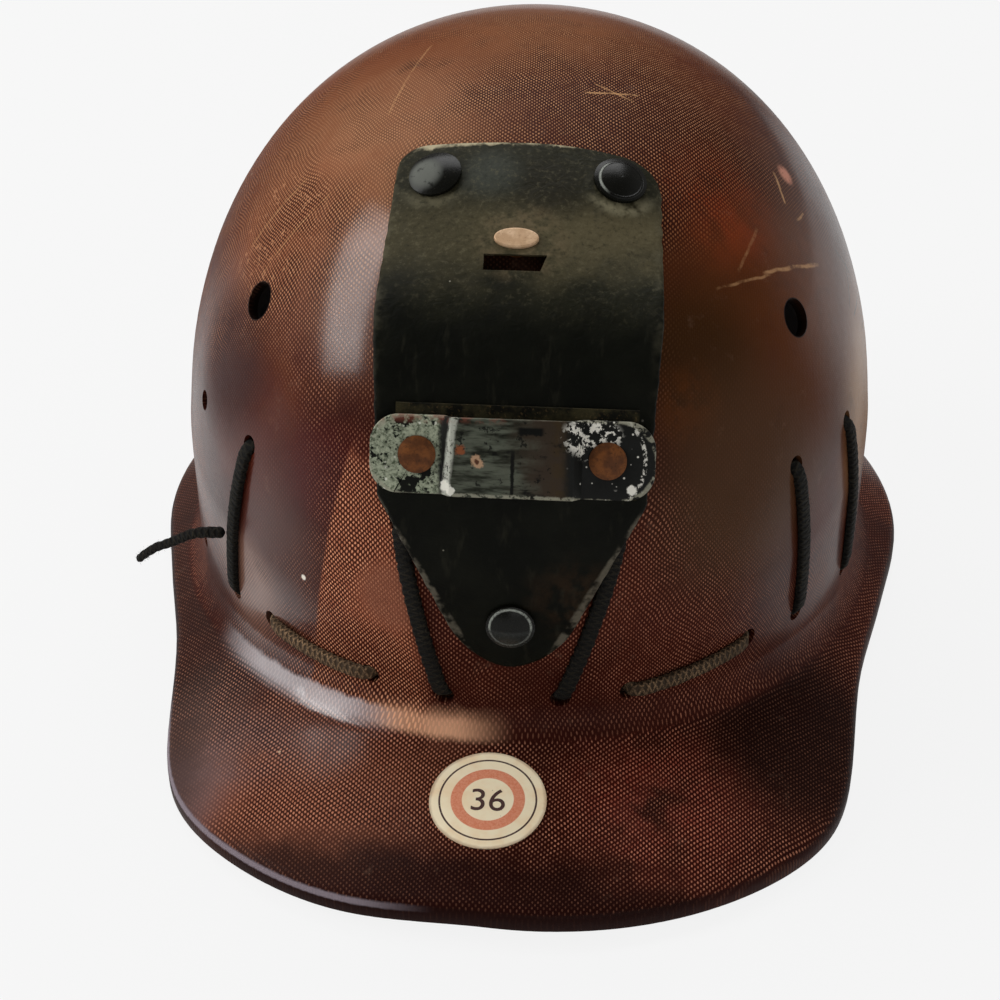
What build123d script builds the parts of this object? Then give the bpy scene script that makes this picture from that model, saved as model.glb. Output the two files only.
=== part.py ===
from math import asin, atan2, cos, degrees, exp, hypot, pi, radians, sin, sqrt, tan
import os

from build123d import *

os.makedirs("parts", exist_ok=True)

# Everything is first built in the crown's own frame, in millimetres: the dome's axis is
# vertical, its widest level is at zero height, the visor points to the front (minus Y).
# At the end each piece is pitched and lowered so that the helmet stands on its rim.

# Shell, one laminated sheet
shell_wall = 3.0
dome_half_width = 106.0
dome_half_length = 126.5
dome_height = 124.0
dome_roundness = 2.26
ear_overhang = 15.0
visor_overhang = 60.5
back_overhang = 12.5
ear_half_width = dome_half_width + ear_overhang
visor_reach = dome_half_length + visor_overhang
back_reach = dome_half_length + back_overhang
brim_center_level = -14.7
brim_ease = 40.0
visor_rise_share = 0.063
visor_sag = 21.0
back_fall_share = 0.005
back_sag = 46.5
side_droop = 34.5
droop_relief_share = 0.27
valley_radius = 12.0
lip_depth = 6.5
lip_round = 4.0
rim_round = 0.9
vent_diameter = 11.0
vent_left_angle = -56.8
vent_left_height = 78.0
vent_right_angle = 60.0
vent_right_height = 75.6
skin_tolerance = 0.01
brim_margin_share = 1.25
foot_slack_share = 1.02
pick_slack = 1.0

# Lamp bracket: leather panel, hook bar, rivets and studs
bracket_pitch = 42.0
bracket_shift = 1.7
leather_thickness = 2.6
leather_top = 63.0
leather_top_half_width = 35.8
leather_wide_level = 12.0
leather_half_width = 38.0
leather_taper_start = -36.0
leather_taper_half_width = 35.2
leather_tip = -79.5
leather_tip_half_width = 11.0
leather_corner_radius = 9.0
leather_tip_radius = 13.0
leather_bow_center = -15.0
leather_bow_reach = 43.0
leather_bow_height = 5.0
soft_gap = 0.3
seat_gap = 0.05
bar_level = -24.5
bar_length = 74.0
bar_width = 20.6
bar_thickness = 1.6
bar_bridge_half_length = 15.5
bar_bridge_rise = 3.4
bar_step_run = 2.2
bar_corner_radius = 7.5
strip_length = 63.0
strip_width = 23.4
strip_thickness = 1.4
strip_shift = 0.9
strip_raise = 1.4
bar_rivet_spacing = 49.4
rivet_head_radius = 4.9
rivet_head_height = 1.5
rivet_shank_radius = 2.0
rivet_tail_height = 0.9
pin_clearance = 0.1
burr_radius = 4.4
burr_thickness = 0.9
stud_spread = 24.3
stud_level = 51.0
tip_stud_level = -66.5
top_stud_radius = 7.3
tip_stud_radius = 6.6
stud_dome_height = 2.6
stud_shank_radius = 2.2
washer_radius = 5.5
washer_thickness = 1.0
slot_level = 26.8
slot_length = 16.8
slot_width = 4.6
slot_slant = 1.6
slot_rivet_level = 33.6
slot_rivet_length = 12.0
slot_rivet_width = 6.4
slot_rivet_height = 0.9
slot_rivet_pin_radius = 1.8
slot_burr_radius = 3.6
slot_burr_thickness = 0.6

# Paper label on the visor
label_radius = 16.0
label_thickness = 0.3
label_setback = 35.5
label_side = -3.0

# Lace: one round thong, in and out of the shell all round, and its loose tail
lace_radius = 2.0
lace_hole_radius = 3.0
lace_clearance = 0.2
lace_swell = 0.4
lace_mid_spacing = 16.0
lace_bend_share = 0.45
lace_pull = 4.2
knot_half_length = 6.0
knot_radius = 5.2
tail_radius = 1.7
# The tail leaves the dome at shares of its half width, half length and height, and then
# runs through these steps from there
tail_root_shares = (-0.79434, -0.633992, 0.096774)
tail_steps = (
    (-4.4, -0.1, 0.2),
    (-10.4, 1.0, -1.6),
    (-17.0, 2.6, -6.8),
    (-23.5, 4.2, -10.6),
    (-28.5, 5.6, -16.6),
)

# Head cradle: sweatband, three crown straps hung on the lace, and the patch on top
band_side_room = 28.0
band_end_room = 28.5
band_half_width = dome_half_width - band_side_room
band_half_length = dome_half_length - band_end_room
band_thickness = 2.0
band_bottom = -36.0
band_height = 32.0
strap_thickness = 1.2
crown_room = 40.0
strap_crown = dome_height - crown_room
strap_spring = -2.0
strap_stack_gap = 0.7
lateral_width = 20.0
diagonal_width = 10.0
eye_radius = 4.4
patch_radius = 24.0
patch_thickness = 1.6

# Lace holes, right side from the back to the front: angle from the front, height as a share
# of the dome's height. Each row is one stitch on the outside, in the order the lace runs.
right_stitch_shares = (
    ((165.0, 0.065), (166.5, -0.345)),
    ((156.0, -0.33), (139.5, -0.305)),
    ((126.5, -0.28), (125.5, 0.145)),
    ((103.0, 0.2), (104.0, -0.25)),
    ((68.3, -0.157), (67.0, 0.296)),
    ((50.6, 0.338), (51.0, -0.078)),
    ((39.6, -0.04), (19.0, -0.05)),
    ((8.4, -0.042), (17.6, 0.38)),
)
left_stitch_shares = (
    ((-165.0, 0.065), (-166.5, -0.345)),
    ((-156.0, -0.33), (-139.5, -0.305)),
    ((-126.5, -0.28), (-125.5, 0.145)),
    ((-103.0, 0.2), (-104.0, -0.25)),
    ((-66.5, -0.12), (-64.7, 0.314)),
    ((-47.6, 0.364), (-51.3, -0.086)),
    ((-41.0, -0.06), (-21.3, -0.047)),
    ((-9.3, -0.048), (-16.6, 0.38)),
)
# The left side's stitch that the lace has slipped out of: its two holes are empty and the
# lace runs past them inside
slipped_stitch = 4
# Where the crown straps hang on the lace's inside runs: after which stitch, angle, height share
eye_shares = (
    (1, 134.0, -0.295),
    (3, 90.0, -0.22),
    (5, 46.0, -0.066),
)


def crown_share(height, inset=0.0):
    """Share of the dome's widest plan at a height above its widest level."""
    rise_share = min(max(height, 0.0) / (dome_height - inset), 1.0)
    return (1 - rise_share**dome_roundness) ** (1 / dome_roundness)


def inside_dome(point, inset):
    across = point.X / (dome_half_width - inset)
    along = point.Y / (dome_half_length - inset)
    return hypot(across, along) < crown_share(point.Z, inset)


def crossing(start, direction, reach, inset=0.0):
    """Distance from a point to the dome's skin, or to the lining at an inset."""
    near = 0.0
    far = reach
    began_inside = inside_dome(start, inset)
    for _ in range(40):
        middle = (near + far) / 2
        if inside_dome(start + direction * middle, inset) == began_inside:
            near = middle
        else:
            far = middle
    return near


def brim_level(x, y):
    """Height of the brim's upper skin over the plan."""
    ahead = (hypot(y, brim_ease) - y) / 2
    behind = (hypot(y, brim_ease) + y) / 2
    front = visor_rise_share * ahead - visor_sag * (ahead / visor_reach) ** 2
    back = back_fall_share * behind + back_sag * (behind / back_reach) ** 2
    relief = 1 - droop_relief_share * ahead / visor_reach
    return brim_center_level + front - back - side_droop * (x / ear_half_width) ** 2 * relief


def skin_normal(angle, height):
    turn = radians(angle)
    share = crown_share(height)
    side = share ** (dome_roundness - 1)
    across = side * sin(turn) / dome_half_width
    along = -side * cos(turn) / dome_half_length
    rise = (max(height, 0.0) / dome_height) ** (dome_roundness - 1) / dome_height
    return Vector(across, along, rise).normalized()


def skin_foot(angle, height):
    turn = radians(angle)
    share = crown_share(height)
    return Vector(
        dome_half_width * share * sin(turn),
        -dome_half_length * share * cos(turn),
        height,
    )


def valley_swell(angle, height):
    """How far the valley's fillet stands out of the dome's straight wall."""
    foot = skin_foot(angle, min(height, 0.0))
    depth = valley_radius - (height - brim_level(foot.X, foot.Y))
    depth = min(max(depth, 0.0), valley_radius)
    return valley_radius - sqrt(valley_radius**2 - depth**2)


def skin_point(angle, height, lift=0.0):
    """A point on the dome's outside, the angle counted from the front."""
    out = valley_swell(angle, height) + lift
    return skin_foot(angle, height) + skin_normal(angle, height) * out


def skin_plane(angle, height, lift=0.0):
    turn = radians(angle)
    tangent = Vector(dome_half_width * cos(turn), dome_half_length * sin(turn), 0)
    normal = skin_normal(angle, height)
    return Plane(origin=skin_point(angle, height, lift), x_dir=tangent, z_dir=normal)


def brim_face(lift=0.0):
    count = 13
    steps = [i / (count - 1) for i in range(count)]
    xs = [ear_half_width * brim_margin_share * (2 * step - 1) for step in steps]
    span = (visor_reach + back_reach) * brim_margin_share
    middle = (back_reach - visor_reach) / 2
    ys = [middle + span * (step - 1 / 2) for step in steps]
    grid = [[Vector(x, y, brim_level(x, y) + lift) for x in xs] for y in ys]
    return Face.make_surface_from_array_of_points(grid, tol=skin_tolerance, min_deg=3, max_deg=5)


# Plan of the brim, from the front tip over the visor's corner and the ear to the back tip
visor_outline_shares = (
    (0.0, 1.0),
    (0.32, 0.975),
    (0.60, 0.875),
    (0.77, 0.74),
    (0.83, 0.56),
    (0.865, 0.38),
    (0.915, 0.24),
    (0.96, 0.11),
)
back_outline_shares = ((1.0, 0.03), (1.0, 0.25), (0.885, 0.54), (0.55, 0.83), (0.0, 1.0))
right_side = [(ear_half_width * x, -visor_reach * y) for x, y in visor_outline_shares]
right_side += [(ear_half_width * x, back_reach * y) for x, y in back_outline_shares]
left_side = [(-x, y) for x, y in reversed(right_side[1:-1])]

with BuildSketch() as brim_plan:
    with BuildLine():
        Spline(*right_side, *left_side, periodic=True)
    make_face()

rim_wire = brim_plan.sketch.face().outer_wire()
rim_count = 72


def inset_rim_point(share):
    """A point of the rim moved in by the wall's thickness."""
    point = rim_wire.position_at(share)
    along = rim_wire.tangent_at(share)
    inward = Vector(-along.Y, along.X, 0).normalized()
    return point + inward * (-shell_wall if inward.dot(point) > 0 else shell_wall)


with BuildSketch() as pocket_plan:
    with BuildLine():
        Spline(*[inset_rim_point(i / rim_count) for i in range(rim_count)], periodic=True)
    make_face()


def dome_solid(inset, drop):
    """Solid dome, smaller by the inset all round, with its wall run straight down."""
    steps = 14
    half_width = dome_half_width - inset
    height = dome_height - inset
    shares = [2 / dome_roundness] * 2
    turns = [pi / 2 * i / steps for i in range(steps + 1)]
    meridian = [
        (half_width * sin(t) ** shares[0], height * max(cos(t), 0.0) ** shares[1])
        for t in turns
    ]
    with BuildPart() as dome:
        with BuildSketch(Plane.XZ):
            with BuildLine():
                Spline(*meridian, tangents=[(1, 0), (0, -1)])
                Polyline((half_width, 0), (half_width, -drop), (0, -drop), (0, height))
            make_face()
        revolve(axis=Axis.Z)
        scale(by=(1, (dome_half_length - inset) / half_width, 1))
    return dome.part


rim_low = min(brim_level(x, y) for x, y in right_side) - lip_depth
base_low = rim_low - lip_depth


def under_brim(plan, lift):
    """Everything inside the plan and below the brim's skin moved up by the lift."""
    with BuildPart() as block:
        with BuildSketch(Plane.XY.offset(base_low)):
            add(plan)
        extrude(amount=dome_height)
        split(bisect_by=brim_face(lift), keep=Keep.TOP)
    return block.part


def long_edges(part, lift, inside):
    """Edges that follow the brim's skin at a lift, inside or outside the dome's foot."""
    found = ShapeList()
    for edge in part.edges():
        spot = edge.position_at(0.3)
        foot_share = hypot(spot.X / dome_half_width, spot.Y / dome_half_length)
        near = abs(spot.Z - brim_level(spot.X, spot.Y) - lift) < pick_slack
        if edge.length > ear_half_width and near and (foot_share < foot_slack_share) == inside:
            found.append(edge)
    return found


# The bracket's frame: x to the right, up along the panel, out along its depth
pitch_turn = radians(bracket_pitch)
bracket_up = Vector(0, sin(pitch_turn), cos(pitch_turn))
bracket_out = Vector(0, -cos(pitch_turn), sin(pitch_turn))
bracket_frame = Plane(origin=(0, 0, 0), x_dir=(1, 0, 0), z_dir=bracket_out)


def bracket_point(x, level, depth):
    return Vector(x, 0, 0) + bracket_up * level + bracket_out * depth


def dome_depth(x, level):
    return crossing(bracket_point(x, level, 0), bracket_out, dome_half_length + dome_height)


def leather_depth(x, level, lift=0.0):
    """Depth of the panel's back: it hugs the dome above and below and stands off between."""
    bow = exp(-(((level - leather_bow_center) / leather_bow_reach) ** 4))
    middle = dome_depth(0, level)
    follow = (1 - bow) * (dome_depth(x, level) - middle)
    return middle + soft_gap + leather_bow_height * bow + follow + lift


def leather_plane(x, level, lift=0.0):
    """Tangent plane of the panel's front at a place, moved out by the lift."""
    step = leather_thickness
    front = leather_thickness
    here = bracket_point(x, level, leather_depth(x, level, front))
    right = bracket_point(x + step, level, leather_depth(x + step, level, front))
    above = bracket_point(x, level + step, leather_depth(x, level + step, front))
    below = bracket_point(x, level - step, leather_depth(x, level - step, front))
    normal = (right - here).cross(above - below).normalized()
    return Plane(origin=here + normal * lift, x_dir=right - here, z_dir=normal)


def leather_face(lift):
    columns = 15
    rows = 21
    width = leather_half_width * 2 * brim_margin_share
    height = (leather_top - leather_tip) * brim_margin_share
    middle = (leather_top + leather_tip) / 2
    xs = [bracket_shift + width * (i / (columns - 1) - 1 / 2) for i in range(columns)]
    levels = [middle + height * (i / (rows - 1) - 1 / 2) for i in range(rows)]
    grid = [[bracket_point(x, v, leather_depth(x, v, lift)) for x in xs] for v in levels]
    return Face.make_surface_from_array_of_points(grid, tol=skin_tolerance, min_deg=3, max_deg=5)


def leather_sheet(outline, back, front):
    """A sheet with the outline's shape between two lifts of the panel's back."""
    with BuildPart() as sheet:
        with BuildSketch(bracket_frame):
            add(outline)
        extrude(amount=dome_half_length + dome_height)
        split(bisect_by=leather_face(front), keep=Keep.TOP)
        split(bisect_by=leather_face(back), keep=Keep.BOTTOM)
    return sheet.part


def slot_outline():
    half = slot_length / 2
    low = slot_level - slot_width / 2
    high = slot_level + slot_width / 2
    with BuildSketch() as outline:
        with BuildLine():
            Polyline((-half, low), (half - slot_slant, low), (half, high), (-half, high), close=True)
        make_face()
    return outline.sketch


def pin(plane, radius, length):
    with BuildPart() as body:
        with BuildSketch(plane):
            Circle(radius)
        extrude(amount=-length)
    return body.part


def domed_head(plane, radius, height):
    edge = height / 3
    crown = height - edge
    ball = (radius**2 + crown**2) / (2 * crown)
    half_turn = asin(radius / ball) / 2
    midway = (ball * sin(half_turn), height - ball * (1 - cos(half_turn)))
    with BuildPart() as head:
        with BuildSketch(Plane(origin=plane.origin, x_dir=plane.x_dir, z_dir=-plane.y_dir)):
            with BuildLine():
                Line((0, 0), (radius, 0))
                Line((radius, 0), (radius, edge))
                ThreePointArc((radius, edge), midway, (0, height))
                Line((0, height), (0, 0))
            make_face()
        revolve(axis=Axis(plane.origin, plane.z_dir))
    return head.part


def wall_depth(place):
    """Length of the wall along its normal at a plane on the skin."""
    return crossing(place.origin, -place.z_dir, dome_height / 2, shell_wall)


# Studs that hold the panel to the shell: their places on the panel's front, and where
# the same axis meets the shell's skin
def stud_place(x, level):
    skin = bracket_point(x, level, dome_depth(x, level))
    share = crown_share(skin.Z)
    turn = atan2(skin.X / dome_half_width, -skin.Y / dome_half_length)
    skin_there = skin_plane(degrees(turn), skin.Z)
    stack = leather_depth(x, level) - dome_depth(x, level) + leather_thickness
    return skin_there, stack * skin_there.z_dir.dot(bracket_out) + seat_gap + soft_gap


stud_places = {
    "top_left": stud_place(bracket_shift - stud_spread, stud_level),
    "top_right": stud_place(bracket_shift + stud_spread, stud_level),
    "bottom": stud_place(bracket_shift, tip_stud_level),
}
stud_radii = {
    "top_left": top_stud_radius,
    "top_right": top_stud_radius,
    "bottom": tip_stud_radius,
}
pierce = shell_wall * 5
vent_places = (
    skin_plane(vent_left_angle, vent_left_height),
    skin_plane(vent_right_angle, vent_right_height),
)


def spot(angle_and_share, lift):
    angle, share = angle_and_share
    return skin_point(angle, share * dome_height, lift)


# Shell: dome and brim in one sheet, hollow below, with a turned down lip all round
with BuildPart() as shell_blank:
    add(under_brim(brim_plan.sketch, 0.0))
    add(under_brim(brim_plan.sketch, -lip_depth), mode=Mode.SUBTRACT)
    add(dome_solid(0.0, -rim_low))
    fillet(long_edges(shell_blank.part, 0.0, True), valley_radius)
    fillet(long_edges(shell_blank.part, 0.0, False), lip_round)
    add(under_brim(pocket_plan.sketch, -shell_wall), mode=Mode.SUBTRACT)
    add(dome_solid(shell_wall, -base_low), mode=Mode.SUBTRACT)
    fillet(long_edges(shell_blank.part, -shell_wall, True), valley_radius + shell_wall)
    fillet(long_edges(shell_blank.part, -lip_depth, False), rim_round)

right_holes = [skin_plane(a, z * dome_height) for row in right_stitch_shares for a, z in row]
left_holes = [skin_plane(a, z * dome_height) for row in left_stitch_shares for a, z in row]
with BuildPart() as shell:
    add(shell_blank.part)
    for planes in (right_holes, left_holes):
        with Locations(*planes):
            Cylinder(lace_hole_radius, pierce, mode=Mode.SUBTRACT)
    with Locations(*vent_places):
        Cylinder(vent_diameter / 2, pierce, mode=Mode.SUBTRACT)
    with Locations(*[place for place, rise in stud_places.values()]):
        Cylinder(stud_shank_radius + pin_clearance, pierce, mode=Mode.SUBTRACT)
shell.part.label = "shell"

with BuildPart() as paper_label:
    with BuildSketch(Plane.XY.offset(base_low)):
        with Locations((label_side, label_setback - visor_reach)):
            Circle(label_radius)
    extrude(amount=dome_height)
    split(bisect_by=brim_face(label_thickness), keep=Keep.TOP)
    split(bisect_by=brim_face(0.0), keep=Keep.BOTTOM)
paper_label.part.label = "paper_label"

# Leather panel
with BuildSketch() as leather_outline:
    with BuildLine():
        Polyline(
            (bracket_shift - leather_top_half_width, leather_top),
            (bracket_shift + leather_top_half_width, leather_top),
            (bracket_shift + leather_half_width, leather_wide_level),
            (bracket_shift + leather_taper_half_width, leather_taper_start),
            (bracket_shift + leather_tip_half_width, leather_tip),
            (bracket_shift - leather_tip_half_width, leather_tip),
            (bracket_shift - leather_taper_half_width, leather_taper_start),
            (bracket_shift - leather_half_width, leather_wide_level),
            close=True,
        )
    make_face()
    corners = leather_outline.vertices().sort_by(Axis.Y)
    fillet(corners[:2], leather_tip_radius)
    corners = leather_outline.vertices().sort_by(Axis.Y)
    fillet(corners[-2:], leather_corner_radius)

# Hook bar, its backing strip and their rivets lie on the panel's tangent plane at the bar
bar_seat = leather_plane(bracket_shift, bar_level, seat_gap)
bar_plane = bar_seat.offset(strip_thickness)
head_plane = bar_plane.offset(bar_thickness)
burr_plane = bar_seat.offset(-(leather_thickness + seat_gap + soft_gap / 2))
bar_rivet_spots = {"left": -bar_rivet_spacing / 2, "right": bar_rivet_spacing / 2}
bar_pins_length = (
    bar_thickness + strip_thickness + leather_thickness + soft_gap + burr_thickness
    + rivet_tail_height
)

slot_head_plane = leather_plane(0, slot_rivet_level, seat_gap)


def beside(plane, x, y=0.0):
    """The same plane with its origin moved within it."""
    return Plane(origin=plane.from_local_coords((x, y, 0)), x_dir=plane.x_dir, z_dir=plane.z_dir)


with BuildPart() as lamp_bracket_leather:
    add(leather_sheet(leather_outline.sketch, 0.0, leather_thickness))
    for side in bar_rivet_spots.values():
        add(
            pin(beside(head_plane, side), rivet_shank_radius + pin_clearance, bar_pins_length * 2),
            mode=Mode.SUBTRACT,
        )
    with Locations(*[place for place, rise in stud_places.values()]):
        Cylinder(stud_shank_radius + pin_clearance, pierce * 2, mode=Mode.SUBTRACT)
    with BuildSketch(bracket_frame):
        add(slot_outline())
    extrude(amount=dome_half_length + dome_height, mode=Mode.SUBTRACT)
    add(
        pin(slot_head_plane, slot_rivet_pin_radius + pin_clearance, leather_thickness * 2),
        mode=Mode.SUBTRACT,
    )
lamp_bracket_leather.part.label = "lamp_bracket_leather"

with BuildPart() as bar_backing_strip:
    with BuildSketch(beside(bar_seat, strip_shift, strip_raise)):
        Rectangle(strip_length, strip_width)
    extrude(amount=strip_thickness)
    with Locations(*[beside(bar_seat, side) for side in bar_rivet_spots.values()]):
        Cylinder(rivet_shank_radius + pin_clearance, pierce, mode=Mode.SUBTRACT)
bar_backing_strip.part.label = "bar_backing_strip"

# The bar is a flat tab at each end with a bridge between that stands proud for the hook
half_bar = bar_length / 2
bridge_foot = bar_bridge_half_length + bar_step_run
bar_side = Plane(origin=bar_plane.origin, x_dir=bar_plane.x_dir, z_dir=-bar_plane.y_dir)
with BuildPart() as lamp_hook_bar:
    with BuildSketch(bar_side):
        with BuildLine():
            Polyline(
                (-half_bar, 0),
                (-bridge_foot, 0),
                (-bar_bridge_half_length, bar_bridge_rise),
                (bar_bridge_half_length, bar_bridge_rise),
                (bridge_foot, 0),
                (half_bar, 0),
                (half_bar, bar_thickness),
                (bridge_foot + bar_thickness / 3, bar_thickness),
                (bar_bridge_half_length + bar_thickness / 3, bar_bridge_rise + bar_thickness),
                (-bar_bridge_half_length - bar_thickness / 3, bar_bridge_rise + bar_thickness),
                (-bridge_foot - bar_thickness / 3, bar_thickness),
                (-half_bar, bar_thickness),
                close=True,
            )
        make_face()
    extrude(amount=bar_width / 2, both=True)
    with BuildSketch(bar_plane):
        RectangleRounded(bar_length, bar_width, bar_corner_radius)
    extrude(amount=bar_bridge_rise * 2 + bar_thickness, mode=Mode.INTERSECT)
    with Locations(*[beside(bar_plane, side) for side in bar_rivet_spots.values()]):
        Cylinder(rivet_shank_radius + pin_clearance, pierce, mode=Mode.SUBTRACT)
lamp_hook_bar.part.label = "lamp_hook_bar"

small_parts = []
for side_name, side in bar_rivet_spots.items():
    with BuildPart() as bar_rivet:
        add(domed_head(beside(head_plane, side), rivet_head_radius, rivet_head_height))
        add(pin(beside(head_plane, side), rivet_shank_radius, bar_pins_length))
    bar_rivet.part.label = f"bar_rivet_{side_name}"
    with BuildPart() as bar_burr:
        with BuildSketch(beside(burr_plane, side)):
            Circle(burr_radius)
            Circle(rivet_shank_radius + pin_clearance, mode=Mode.SUBTRACT)
        extrude(amount=-burr_thickness)
    bar_burr.part.label = f"bar_burr_{side_name}"
    small_parts += [bar_rivet.part, bar_burr.part]

# Flat oval rivet above the hook slot, clinched over a burr behind the panel
slot_burr_plane = slot_head_plane.offset(-(leather_thickness + soft_gap))
with BuildPart() as slot_rivet:
    with BuildSketch(slot_head_plane):
        Ellipse(slot_rivet_length / 2, slot_rivet_width / 2)
    extrude(amount=slot_rivet_height)
    top_edges = slot_rivet.edges().sort_by(Axis(slot_head_plane.origin, slot_head_plane.z_dir))
    fillet(top_edges[-1], slot_rivet_height / 2)
    with BuildSketch(slot_head_plane):
        Circle(slot_rivet_pin_radius)
    extrude(amount=-(leather_thickness + soft_gap + slot_burr_thickness))
slot_rivet.part.label = "slot_rivet"
with BuildPart() as slot_burr:
    with BuildSketch(slot_burr_plane):
        Circle(slot_burr_radius)
        Circle(slot_rivet_pin_radius + pin_clearance, mode=Mode.SUBTRACT)
    extrude(amount=-slot_burr_thickness)
slot_burr.part.label = "slot_burr"

# Studs through panel and shell, each with a washer inside
for name, (place, rise) in stud_places.items():
    cap_plane = place.offset(rise)
    depth = wall_depth(place) + seat_gap * 2 + washer_radius**2 / dome_half_width / 2
    with BuildPart() as stud:
        add(domed_head(cap_plane, stud_radii[name], stud_dome_height))
        add(pin(cap_plane, stud_shank_radius, rise + depth + washer_thickness + rivet_tail_height))
    stud.part.label = f"bracket_stud_{name}"
    with BuildPart() as washer:
        with BuildSketch(place.offset(-depth)):
            Circle(washer_radius)
            Circle(stud_shank_radius + pin_clearance, mode=Mode.SUBTRACT)
        extrude(amount=-washer_thickness)
    washer.part.label = f"stud_washer_{name}"
    small_parts += [stud.part, washer.part]

# Lace route: outside along each stitch, inside from stitch to stitch and past the slipped one
outside_lift = lace_radius + lace_clearance
inside_lift = -(shell_wall + lace_radius + lace_clearance * 2)


def stitch(start, end):
    """One outside run with its plunges through the wall at both ends."""
    first = spot(start, outside_lift)
    last = spot(end, outside_lift)
    steps = max(round((last - first).length / lace_mid_spacing) + 1, 3)
    run = [spot(start, inside_lift), first]
    for i in range(1, steps):
        share = i / steps
        angle = start[0] + (end[0] - start[0]) * share
        height_share = start[1] + (end[1] - start[1]) * share
        run.append(spot((angle, height_share), outside_lift + lace_swell * sin(pi * share)))
    return run + [last, spot(end, inside_lift)]


def eye_point(angle, share):
    """Where a crown strap's eye hangs on an inside run, in the strap's own upright plane."""
    foot = skin_foot(angle, share * dome_height)
    flat = Vector(foot.X, foot.Y, 0)
    return foot - flat.normalized() * (lace_pull - inside_lift)


def side_route(stitches, sign, slipped=None):
    route = []
    for i, (start, end) in enumerate(stitches):
        if i == slipped:
            route.append(spot([(a + b) / 2 for a, b in zip(start, end)], inside_lift))
        else:
            route += stitch(start, end)
        route += [eye_point(sign * angle, share) for after, angle, share in eye_shares if after == i]
    return route


right_route = side_route(right_stitch_shares, 1)
left_route = side_route(left_stitch_shares, -1, slipped_stitch)
knot_center = (right_route[0] + left_route[0]) * 0.5
knot_end = Vector(knot_half_length, 0, 0)
lace_route = [knot_center + knot_end] + right_route + left_route[::-1] + [knot_center - knot_end]


def bend_radii(route):
    radii = []
    for before, here, after in zip(route, route[1:], route[2:]):
        half_turn = radians((here - before).get_angle(after - here)) / 2
        shorter = min((here - before).length, (after - here).length)
        radii.append(lace_bend_share * shorter / tan(half_turn))
    return radii


def cord_tube(route, radius):
    with BuildPart() as tube:
        with BuildLine() as path:
            FilletPolyline(*route, radius=bend_radii(route))
        spine = path.wire()
        with BuildSketch(Plane(origin=spine @ 0, z_dir=spine % 0)):
            Circle(radius)
        sweep()
    expected = spine.length * pi * radius**2
    print("cord", round(spine.length, 1), "mm, volume against section times length",
          round(tube.part.volume / expected, 5), "least radius", round(min(bend_radii(route)), 2))
    return tube.part


shell_lace = cord_tube(lace_route, lace_radius)
shell_lace.label = "shell_lace"
dome_sizes = (dome_half_width, dome_half_length, dome_height)
tail_root = Vector(*[share * size for share, size in zip(tail_root_shares, dome_sizes)])
lace_tail = cord_tube([tail_root] + [tail_root + Vector(*step) for step in tail_steps], tail_radius)
lace_tail.label = "lace_tail"

with BuildPart() as lace_knot:
    with BuildSketch(Plane(origin=knot_center, x_dir=(1, 0, 0), z_dir=(0, 0, 1))):
        with BuildLine():
            ThreePointArc(
                (-knot_half_length, lace_radius), (0, knot_radius), (knot_half_length, lace_radius)
            )
            Polyline(
                (knot_half_length, lace_radius),
                (knot_half_length, 0),
                (-knot_half_length, 0),
                (-knot_half_length, lace_radius),
            )
        make_face()
    revolve(axis=Axis(knot_center, (1, 0, 0)))
lace_knot.part.label = "lace_knot"


def band_reach(direction, half_width):
    """How far the sweatband's outside reaches under a strap, along the strap's direction."""
    across = direction.cross(Vector(0, 0, 1))
    outer_x = band_half_width + band_thickness
    outer_y = band_half_length + band_thickness
    ring = [
        Vector(outer_x * cos(radians(turn)), outer_y * sin(radians(turn)), 0) for turn in range(360)
    ]
    return max(p.dot(direction) for p in ring if abs(p.dot(across)) <= half_width)


def cradle_strap(angle, width, layer):
    """Strap in an upright plane: an eye on the lace, in to the band, over the crown, and back."""
    near = eye_places[angle]
    far = eye_places[angle - 180.0 if angle > 0 else angle + 180.0]
    direction = Vector(near.X, near.Y, 0).normalized()
    reach = band_reach(direction, width / 2) + soft_gap
    crown = strap_crown + layer * (strap_thickness + strap_stack_gap)
    with BuildPart() as strap:
        with BuildSketch(Plane(origin=(0, 0, 0), x_dir=direction, z_dir=direction.cross(Vector(0, 0, 1)))):
            with BuildLine():
                EllipticalCenterArc(
                    (0, strap_spring), reach + strap_thickness, crown + strap_thickness - strap_spring,
                    arc_size=180,
                )
                EllipticalCenterArc((0, strap_spring), reach, crown - strap_spring, arc_size=180)
                for side, eye in ((1, near), (-1, far)):
                    foot = eye.Z - eye_radius - strap_thickness
                    Polyline(
                        (side * (reach + strap_thickness), strap_spring),
                        (side * (reach + strap_thickness), foot),
                        (side * reach, foot),
                        (side * reach, strap_spring),
                    )
            make_face()
            for side, eye in ((1, near), (-1, far)):
                eye_reach = side * hypot(eye.X, eye.Y)
                low = eye.Z - eye_radius - strap_thickness
                high = eye.Z - eye_radius
                with BuildLine():
                    Polyline((side * reach, low), (eye_reach, low), (eye_reach, high),
                             (side * reach, high), close=True)
                make_face()
                with Locations((eye_reach, eye.Z)):
                    Circle(eye_radius + strap_thickness)
                    Circle(eye_radius, mode=Mode.SUBTRACT)
        extrude(amount=width / 2, both=True)
    return strap.part


eye_places = {}
for after, angle, share in eye_shares:
    eye_places[angle] = eye_point(angle, share)
    eye_places[-angle] = eye_point(-angle, share)

cradle_strap_lateral = cradle_strap(90.0, lateral_width, 0)
cradle_strap_lateral.label = "cradle_strap_lateral"
cradle_strap_right = cradle_strap(46.0, diagonal_width, 1)
cradle_strap_right.label = "cradle_strap_right_front"
cradle_strap_left = cradle_strap(-46.0, diagonal_width, 2)
cradle_strap_left.label = "cradle_strap_left_front"

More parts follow.
